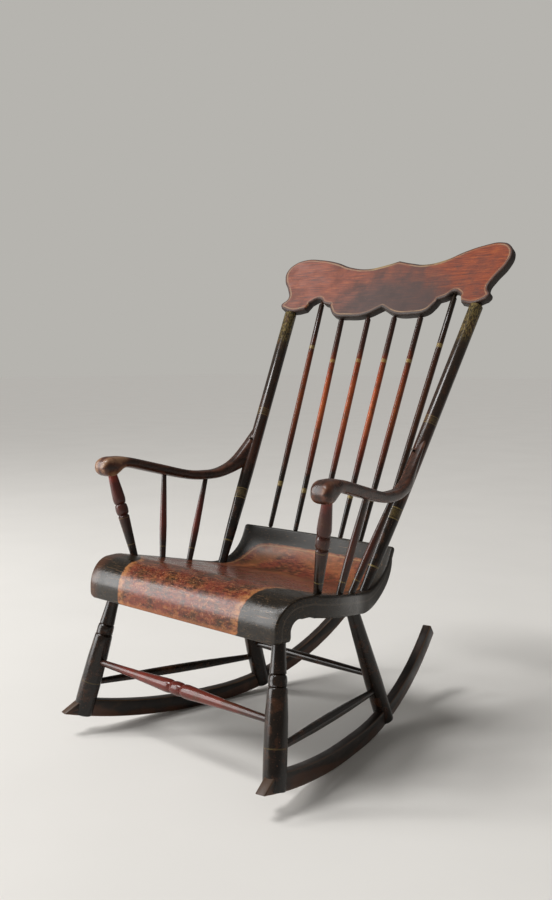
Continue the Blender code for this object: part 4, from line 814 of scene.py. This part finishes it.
# %% Crest board
CREST_THICKNESS = 0.020
CREST_CUT = 0.006
REAR_EASE = 0.0024
bm = bmesh.new()
bm.from_mesh(sawn)
bmesh.ops.remove_doubles(bm, verts=bm.verts, dist=MERGE)
outline_points = [vert.co.copy() for vert in bm.verts]
bmesh.ops.contextual_create(bm, geom=bm.edges[:])
bmesh.ops.translate(bm, verts=bm.verts, vec=(0.0, 0.0, -CREST_THICKNESS / 2))
made = bmesh.ops.extrude_face_region(bm, geom=bm.faces[:])
bmesh.ops.translate(bm, verts=new_points(made), vec=(0.0, 0.0, CREST_THICKNESS))
bmesh.ops.recalc_face_normals(bm, faces=bm.faces)
for level, ease in ((CREST_THICKNESS / 2, CREST_ROUND), (-CREST_THICKNESS / 2, REAR_EASE)):
    rims = [edge for edge in bm.edges if all(abs(vert.co.z - level) < MERGE for vert in edge.verts)]
    bmesh.ops.bevel(bm, geom=rims, offset=ease, offset_type='OFFSET', affect='EDGES', segments=4, profile=0.5,
                    material=-1, clamp_overlap=False)
low_corner = Vector((-CREST_HALF_WIDTH, min(up for x, up, kind in CREST_OUTLINE), 0.0))
top_edge = max(up for x, up, kind in CREST_OUTLINE)
for axis, span in ((0, 2 * CREST_HALF_WIDTH), (1, top_edge - low_corner.y)):
    normal = Vector((0.0, 0.0, 0.0))
    normal[axis] = 1.0
    for i in range(1, int(span / CREST_CUT) + 1):
        bmesh.ops.bisect_plane(bm, geom=bm.verts[:] + bm.edges[:] + bm.faces[:], dist=MERGE,
                               plane_co=low_corner + normal * (CREST_CUT * i), plane_no=normal)
print("crest board:", len(bm.verts), "points")

# %% Bend the crest and set it on the posts
CREST_RAKE = radians(32.5)
CREST_BOW = 0.0394
POST_IN_CREST = 0.036           # the post's tenon and shoulder reach this far into the crest
FRONT_FROM = CREST_THICKNESS / 2 - 0.9 * CREST_ROUND    # points further forward belong to the front
nearest = KDTree(len(outline_points))
for i, point in enumerate(outline_points):
    nearest.insert(point, i)
nearest.balance()
own_mark = bm.verts.layers.float_vector.new("own")
edge_mark = bm.verts.layers.float.new("edge")
front_mark = bm.verts.layers.float.new("front")
post_top = post_foot + post_way * (post_length - POST_IN_CREST)
crest_up = Vector((0.0, sin(CREST_RAKE), cos(CREST_RAKE)))
crest_back = Vector((0.0, cos(CREST_RAKE), -sin(CREST_RAKE)))
crest_base = Vector((0.0, post_top.y + CREST_BOW * (post_top.x / CREST_HALF_WIDTH) ** 2, post_top.z))
for vert in bm.verts:
    x, up, forward = vert.co
    vert[own_mark] = vert.co
    vert[edge_mark] = nearest.find((x, up, 0.0))[2]
    vert[front_mark] = 1.0 if forward > FRONT_FROM else 0.0
    bowed = Vector((x, -CREST_BOW * (x / CREST_HALF_WIDTH) ** 2, 0.0))
    vert.co = crest_base + bowed + crest_up * up - crest_back * forward
bmesh.ops.recalc_face_normals(bm, faces=bm.faces)
crest = finish_piece("crest", bm, crest_paint)
print("crest:", [round(value * 1000) for value in crest.dimensions], "mm")

# %% [markdown]
# ## The arms' paint
# The arms are dark brown. Hands rubbed the knuckles and the upper corners down to red and then to bare
# ochre wood, and polished them smooth, the left one most. The place along, across and up the arm is kept on
# the mesh: the product of the last two is large only at the corners, so the wear needs no painting by hand.

# %% Arm paint
CORNER_RUB = 0.55               # how much more a corner is rubbed than a flat
arm_paint, tree, shader, own, streaks, blotches, specks = start_paint(
    "worn_brown_arm_paint", stretch=(1.0, 0.08, 1.0), streak=7, blotch=30, gloss=(0.20, 0.38))
arm_marks = add(tree, 'Attribute', attribute_name="arm").outputs["Vector"]
wear = add(tree, 'Attribute', attribute_name="wear").outputs["Fac"]
along, across, up = add(tree, 'SeparateXYZ', {"Vector": arm_marks}).outputs
corner = add(tree, 'Math', (across, up), operation='MULTIPLY')
corner_size = add(tree, 'Math', (corner,), operation='ABSOLUTE')
knuckle = add(tree, 'MapRange', (along, 0.0, 0.14, 0.30, 0.0), **SMOOTH)
worn_knuckle = add(tree, 'Math', (knuckle, wear), operation='MULTIPLY')
rub = add(tree, 'Math', (corner_size, CORNER_RUB, worn_knuckle), operation='MULTIPLY_ADD')
patchy = add(tree, 'Math', (rub, blotches), operation='ADD')
browns = add(tree, 'ValToRGB', {"Fac": streaks})
colour_stops(browns, ((0.32, "#231712"), (0.50, "#35221a"), (0.68, "#4a2d22")))
colour = lay_coats(tree, browns, 'SMOOTHSTEP', (patchy, 0.70, 1.05, 0.65, "#653a28"),
                   (patchy, 0.92, 1.20, 0.80, "#8d6b50"))
colour = lay_coats(tree, colour, 'LINEAR', (specks, 0.67, 0.71, 0.50, "#7a563e"))
tree.links.new(colour.outputs[2], shader.inputs["Base Color"])
print("arm paint:", len(tree.nodes), "nodes")

# %% [markdown]
# ## The arms
# Each arm was sawn from thick plank and shaped with a spokeshave: a rolled knuckle in front, a low slim
# middle and a rise to the back post. Stations give the dip, the depth and the width along the arm, and a
# smooth curve through them gives many rings. Each ring is a rounded oblong, extruded from the one before.

# %% Arm stations
ARM_HEIGHT = 0.591
ARM_DEPTH = 0.043
ARM_HALF_WIDTH = 0.0235
ARM_LOW_POINT = 0.046
ARM_END_DROP = 0.038
ARM_END_RISE = 0.064
ARM_END_HALF_WIDTH = 0.0115
ARM_END_INSET = Vector((0.0, 0.004, 0.0))
ARM_OUTWARD_CURVE = 0.008
RINGS_PER_STATION = 5
# Shares: along the arm, then dip of its top, depth and half width
ARM_STATIONS = (
    (-0.086, 0.52, 0.04, 0.40), (-0.084, 0.40, 0.24, 0.62), (-0.075, 0.20, 0.64, 0.84),
    (-0.055, 0.06, 0.92, 0.97), (-0.030, 0.00, 1.00, 1.00), (-0.008, 0.00, 1.00, 1.00),
    (0.018, 0.00, 0.84, 0.99), (0.045, 0.01, 0.65, 0.97), (0.075, 0.05, 0.57, 0.92),
    (0.140, 0.16, 0.56, 0.82), (0.320, 0.55, 0.56, 0.70), (0.500, 0.94, 0.52, 0.66),
    (0.620, 1.05, 0.51, 0.64), (0.740, 0.96, 0.54, 0.62), (0.860, 0.36, 0.86, 0.57),
)


def post_axis_at(height):
    """The point on the right post's axis at a height."""
    return post_foot + post_way * ((height - post_foot.z) / post_way.z)


arm_post_foot, arm_post_way = lathe_line("arm_post_right")[:2]
knuckle_place = arm_post_foot + arm_post_way * ((ARM_HEIGHT - ARM_DEPTH - arm_post_foot.z) / arm_post_way.z)
arm_front = Vector((knuckle_place.x, knuckle_place.y, ARM_HEIGHT))
arm_end_low = post_axis_at(ARM_HEIGHT - ARM_END_DROP)
arm_end_high = post_axis_at(ARM_HEIGHT + ARM_END_RISE)


def through(before, near, far, after, share):
    """A smooth curve through four values, read between the middle two."""
    slope = far - before
    bend = before * 2 - near * 5 + far * 4 - after
    twist = near * 3 - before - far * 3 + after
    return near + (slope * share + bend * share ** 2 + twist * share ** 3) / 2


def arm_sections():
    """(along, top, bottom, half width) of many rings along the right arm."""
    rear = (arm_end_low + arm_end_high) / 2
    rough = []
    for share, dip, depth, half_width in ARM_STATIONS:
        line = arm_front.lerp(rear, share)
        line.x += ARM_OUTWARD_CURVE * 4 * share * (1 - share) if 0 < share < 1 else 0.0
        top = Vector((line.x, line.y, ARM_HEIGHT - dip * ARM_LOW_POINT))
        rough.append((share, top, top - Vector((0.0, 0.0, depth * ARM_DEPTH)), half_width * ARM_HALF_WIDTH))
    rough.append((1.0, arm_end_high - ARM_END_INSET, arm_end_low - ARM_END_INSET, ARM_END_HALF_WIDTH))
    rough = [rough[0], *rough, rough[-1]]
    for four in zip(rough, rough[1:], rough[2:], rough[3:]):
        for step in range(RINGS_PER_STATION):
            yield tuple(through(*values, step / RINGS_PER_STATION) for values in zip(*four))
    yield rough[-1]


print("arm:", round((arm_end_low - arm_front).length * 1000), "mm from its post to the back post")

# %% Build the arms
RING_POINTS = 28
SQUARENESS = 3.2                # 2 would give an ellipse
ARM_WEAR = {"right": 0.35, "left": 1.0}
angles = [2 * pi * i / RING_POINTS for i in range(RING_POINTS)]
RING_SHAPE = [tuple(abs(part) ** (2 / SQUARENESS) * (1 if part > 0 else -1) for part in (cos(a), sin(a)))
              for a in angles]


def build_arm(side_name):
    """Extrude a ring along the arm's sections."""
    bm = bmesh.new()
    arm_layer = bm.verts.layers.float_vector.new("arm")
    wear_layer = bm.verts.layers.float.new("wear")
    ring = bmesh.ops.create_circle(bm, segments=RING_POINTS, radius=ARM_HALF_WIDTH)["verts"]
    edges = bm.edges[:]
    for i, (share, top, bottom, half_width) in enumerate(arm_sections()):
        if i:
            made = bmesh.ops.extrude_edge_only(bm, edges=edges)
            edges = [item for item in made["geom"]
                     if isinstance(item, bmesh.types.BMEdge) and item.is_boundary]
            ring = sorted(new_points(made), key=lambda new: min(
                range(RING_POINTS), key=lambda k: (ring[k].co - new.co).length))
        for vert, (out, rise) in zip(ring, RING_SHAPE):
            vert.co = (top + bottom) / 2 + (top - bottom) / 2 * rise + Vector((out * half_width, 0.0, 0.0))
            vert.co.x *= SIDES[side_name]
            vert[arm_layer] = (share, out, rise)
            vert[wear_layer] = ARM_WEAR[side_name]
    bmesh.ops.holes_fill(bm, edges=[edge for edge in bm.edges if edge.is_boundary])
    bmesh.ops.recalc_face_normals(bm, faces=bm.faces)
    finish_piece(f"arm_{side_name}", bm, arm_paint)


for side_name in SIDES:
    build_arm(side_name)
print("arms:", len(ARM_STATIONS) * RINGS_PER_STATION, "rings each")

# %% [markdown]
# ## The rockers
# The rockers were sawn from plank. Their solids already have the right curve, so each piece starts as a copy
# of its node: loose triangles are merged and joined to whole faces, and the sawn corners are eased. Marks
# are kept for the lower edge, where boots wore the paint, and for the rubbed corners and the sawn beak.

# %% Rocker paint
rocker_paint, tree, shader, own, streaks, blotches, specks = start_paint(
    "black_brown_rocker_paint", stretch=(1.0, 0.08, 0.35), streak=7, blotch=45, gloss=(0.28, 0.48))
rise = add(tree, 'Attribute', attribute_name="rise").outputs["Fac"]
rubbed = add(tree, 'Attribute', attribute_name="rubbed").outputs["Fac"]
low = add(tree, 'MapRange', (rise, 0.0, 0.55, 0.26, -0.05), **SMOOTH)
patchy = add(tree, 'Math', (low, blotches), operation='ADD')
blacks = add(tree, 'ValToRGB', {"Fac": streaks})
colour_stops(blacks, ((0.32, "#130e0a"), (0.52, "#1f1610"), (0.70, "#35251a")))
colour = lay_coats(tree, blacks, 'SMOOTHSTEP', (patchy, 0.50, 0.86, 0.85, "#4c2c18"))
colour = lay_coats(tree, colour, 'LINEAR', (specks, 0.66, 0.71, 0.60, "#7d5a42"))
rub = add(tree, 'Math', (rubbed, blotches), operation='MULTIPLY')
colour = add(tree, 'Mix', {0: rub, 6: colour, 7: linear("#70543f")}, data_type='RGBA')
tree.links.new(colour.outputs[2], shader.inputs["Base Color"])
print("rocker paint:", len(tree.nodes), "nodes")

# %% Rockers
ROCKER_EASE = 0.0022
ONE_FACE = radians(0.5)         # triangles that meet flatter than this are one face
SAWN_CORNER = radians(40)
SHORTEST_SAWN_EDGE = 0.005      # shorter edges belong to the peg holes
BEAK_END = -0.36                # the beak's sawn end lies in front of this
FACING_FRONT = -0.3
RUBBED_CORNER = 0.8
RUBBED_BEAK = 0.5
for side_name in SIDES:
    node = f"rocker_{side_name}"
    bm = bmesh.new()
    bm.from_mesh(frame["nodes"][node].data)
    bmesh.ops.remove_doubles(bm, verts=bm.verts, dist=MERGE)
    bmesh.ops.dissolve_limit(bm, angle_limit=ONE_FACE, verts=bm.verts, edges=bm.edges)
    rise_mark = bm.verts.layers.float.new("rise")
    rubbed_mark = bm.faces.layers.float.new("rubbed")
    sawn = [edge for edge in bm.edges if edge.is_manifold and edge.calc_face_angle() > SAWN_CORNER
            and edge.calc_length() > SHORTEST_SAWN_EDGE]
    made = bmesh.ops.bevel(bm, geom=sawn, offset=ROCKER_EASE, offset_type='OFFSET', affect='EDGES',
                           segments=2, profile=0.5, material=-1, clamp_overlap=True)
    for face in made["faces"]:
        face[rubbed_mark] = RUBBED_CORNER
    for face in bm.faces:
        if face.normal.y < FACING_FRONT and face.calc_center_median().y < BEAK_END:
            face[rubbed_mark] = RUBBED_BEAK
    for vert in bm.verts:
        vert[rise_mark] = 1.0 if vert.normal.z > 0.0 else 0.0
    finish_piece(node, bm, rocker_paint)
print("rockers eased by", ROCKER_EASE * 1000, "mm")

# %% [markdown]
# ## Hidden fastenings
# Dowels, pegs and screws lie inside the joints. They stay as they are in the frame, and get the finish of
# what they are: riven maple, which is pale and dull, and forged iron, dark grey under its fire scale. One
# small function serves all finishes that only wander a little between two shades.

# %% Maple and iron
FASTENING_GRAIN = 2.0           # millimetres


def two_shades(name, roughness, patch, detail, *stops):
    """A finish that wanders between two shades, in patches of some millimetres, and its shader."""
    finish, tree, shader = new_finish(name, roughness)
    place = add(tree, 'TexCoord').outputs["Object"]
    patches = add(tree, 'TexNoise', {"Vector": place, "Scale": per_mm(patch), "Detail": detail})
    shade = add(tree, 'ValToRGB', {"Fac": patches})
    colour_stops(shade, stops)
    tree.links.new(shade.outputs["Color"], shader.inputs["Base Color"])
    return finish, shader


maple, shader = two_shades("riven_maple", 0.6, FASTENING_GRAIN, 4.0, (0.35, "#8a6a48"), (0.65, "#a98660"))
iron, shader = two_shades("forged_iron", 0.55, FASTENING_GRAIN, 4.0, (0.35, "#3a3532"), (0.65, "#5a524c"))
shader.inputs["Metallic"].default_value = 1.0
hidden = {name: node for name, node in frame["nodes"].items() if not node.hide_render}
for name, node in hidden.items():
    node.data.materials.clear()
    node.data.materials.append(iron if "screw" in name else maple)
print("hidden fastenings:", len(hidden))

# %% [markdown]
# ## Floor, light and camera
# A wide pale floor takes the chair's shadow. A broad lamp at the left models the rolls and the turnings as a
# tall window would, a narrow strip above it draws a bright line down the turned wood, an overhead lamp gives
# the floor its light, and the world lifts the shadows. Their sum is a plain level, at which a colour renders
# about as it is written. The backdrop has the far floor's own colour, so no horizon is seen. The camera
# stands where the picture was taken from.

# %% Floor
FLOOR_HALF = 40.0
FLOOR_PATCH = 400.0             # millimetres
floor_paint, shader = two_shades("pale_plaster_floor", 0.85, FLOOR_PATCH, 3.0,
                                 (0.3, "#dfdcd7"), (0.7, "#e2dfda"))
bm = bmesh.new()
bmesh.ops.create_grid(bm, x_segments=4, y_segments=4, size=FLOOR_HALF)
floor_mesh = bpy.data.meshes.new("floor")
bm.to_mesh(floor_mesh)
bm.free()
floor_mesh.materials.append(floor_paint)
floor = bpy.data.objects.new("floor", floor_mesh)
bpy.context.scene.collection.objects.link(floor)
print("floor:", 2 * FLOOR_HALF, "m wide")

# %% Light
SKY_STRENGTH = 0.22
world = bpy.data.worlds.new("studio")
world.use_nodes = True
bpy.context.scene.world = world
tree = world.node_tree
soft = tree.nodes["Background"]
soft.inputs["Color"].default_value = linear("#f4f2ee")
soft.inputs["Strength"].default_value = SKY_STRENGTH
backdrop = add(tree, 'Background', {"Color": linear("#b6b4af"), "Strength": 1.0})
rays = add(tree, 'LightPath')
seen = add(tree, 'MixShader', (rays.outputs["Is Camera Ray"], soft, backdrop))
tree.links.new(seen.outputs["Shader"], tree.nodes["World Output"].inputs["Surface"])


def hang(lamp, place, way):
    """Set a lamp at a place, shining a way."""
    holder = bpy.data.objects.new(lamp.name, lamp)
    holder.location = place
    holder.rotation_euler = way.to_track_quat('-Z', 'Y').to_euler()
    bpy.context.scene.collection.objects.link(holder)
    print("lamp:", lamp.name, "with energy", lamp.energy)


overhead = bpy.data.lights.new("overhead", 'SUN')
overhead.energy = 1.6
overhead.angle = radians(18)
hang(overhead, Vector((0.0, 0.0, 0.0)), Vector((0.25, 0.45, -0.90)))
for name, width, height, watts, place, aim in (
        ("window", 3.2, 2.8, 192.0, Vector((-3.2, -3.4, 1.7)), Vector((0.0, 0.0, 0.5))),
        ("strip", 0.5, 2.1, 60.0, Vector((-3.1, -2.5, 3.9)), Vector((0.0, 0.15, 0.75)))):
    lamp = bpy.data.lights.new(name, 'AREA')
    lamp.shape = 'RECTANGLE'
    lamp.size = width
    lamp.size_y = height
    lamp.energy = watts
    hang(lamp, place, aim - place)

# %% Camera
CAMERA_PLACE = Vector((1.38912, -1.57395, 0.80173))
CAMERA_AZIMUTH = radians(42.41)
CAMERA_ELEVATION = radians(5.298)
CAMERA_LENS = 38.40             # millimetres
camera_data = bpy.data.cameras.new("camera")
camera_data.lens = CAMERA_LENS
camera = bpy.data.objects.new("camera", camera_data)
camera.location = CAMERA_PLACE
level = Vector((sin(CAMERA_AZIMUTH), -cos(CAMERA_AZIMUTH), 0.0))
backwards = level * cos(CAMERA_ELEVATION) + Vector((0.0, 0.0, sin(CAMERA_ELEVATION)))
camera.rotation_euler = (-backwards).to_track_quat('-Z', 'Y').to_euler()
bpy.context.scene.collection.objects.link(camera)
bpy.context.scene.camera = camera
bpy.context.scene.view_settings.view_transform = 'Standard'
print("camera:", round(CAMERA_PLACE.length, 2), "m from the chair's foot")

# %% Final update of the scene
bpy.context.view_layer.update()
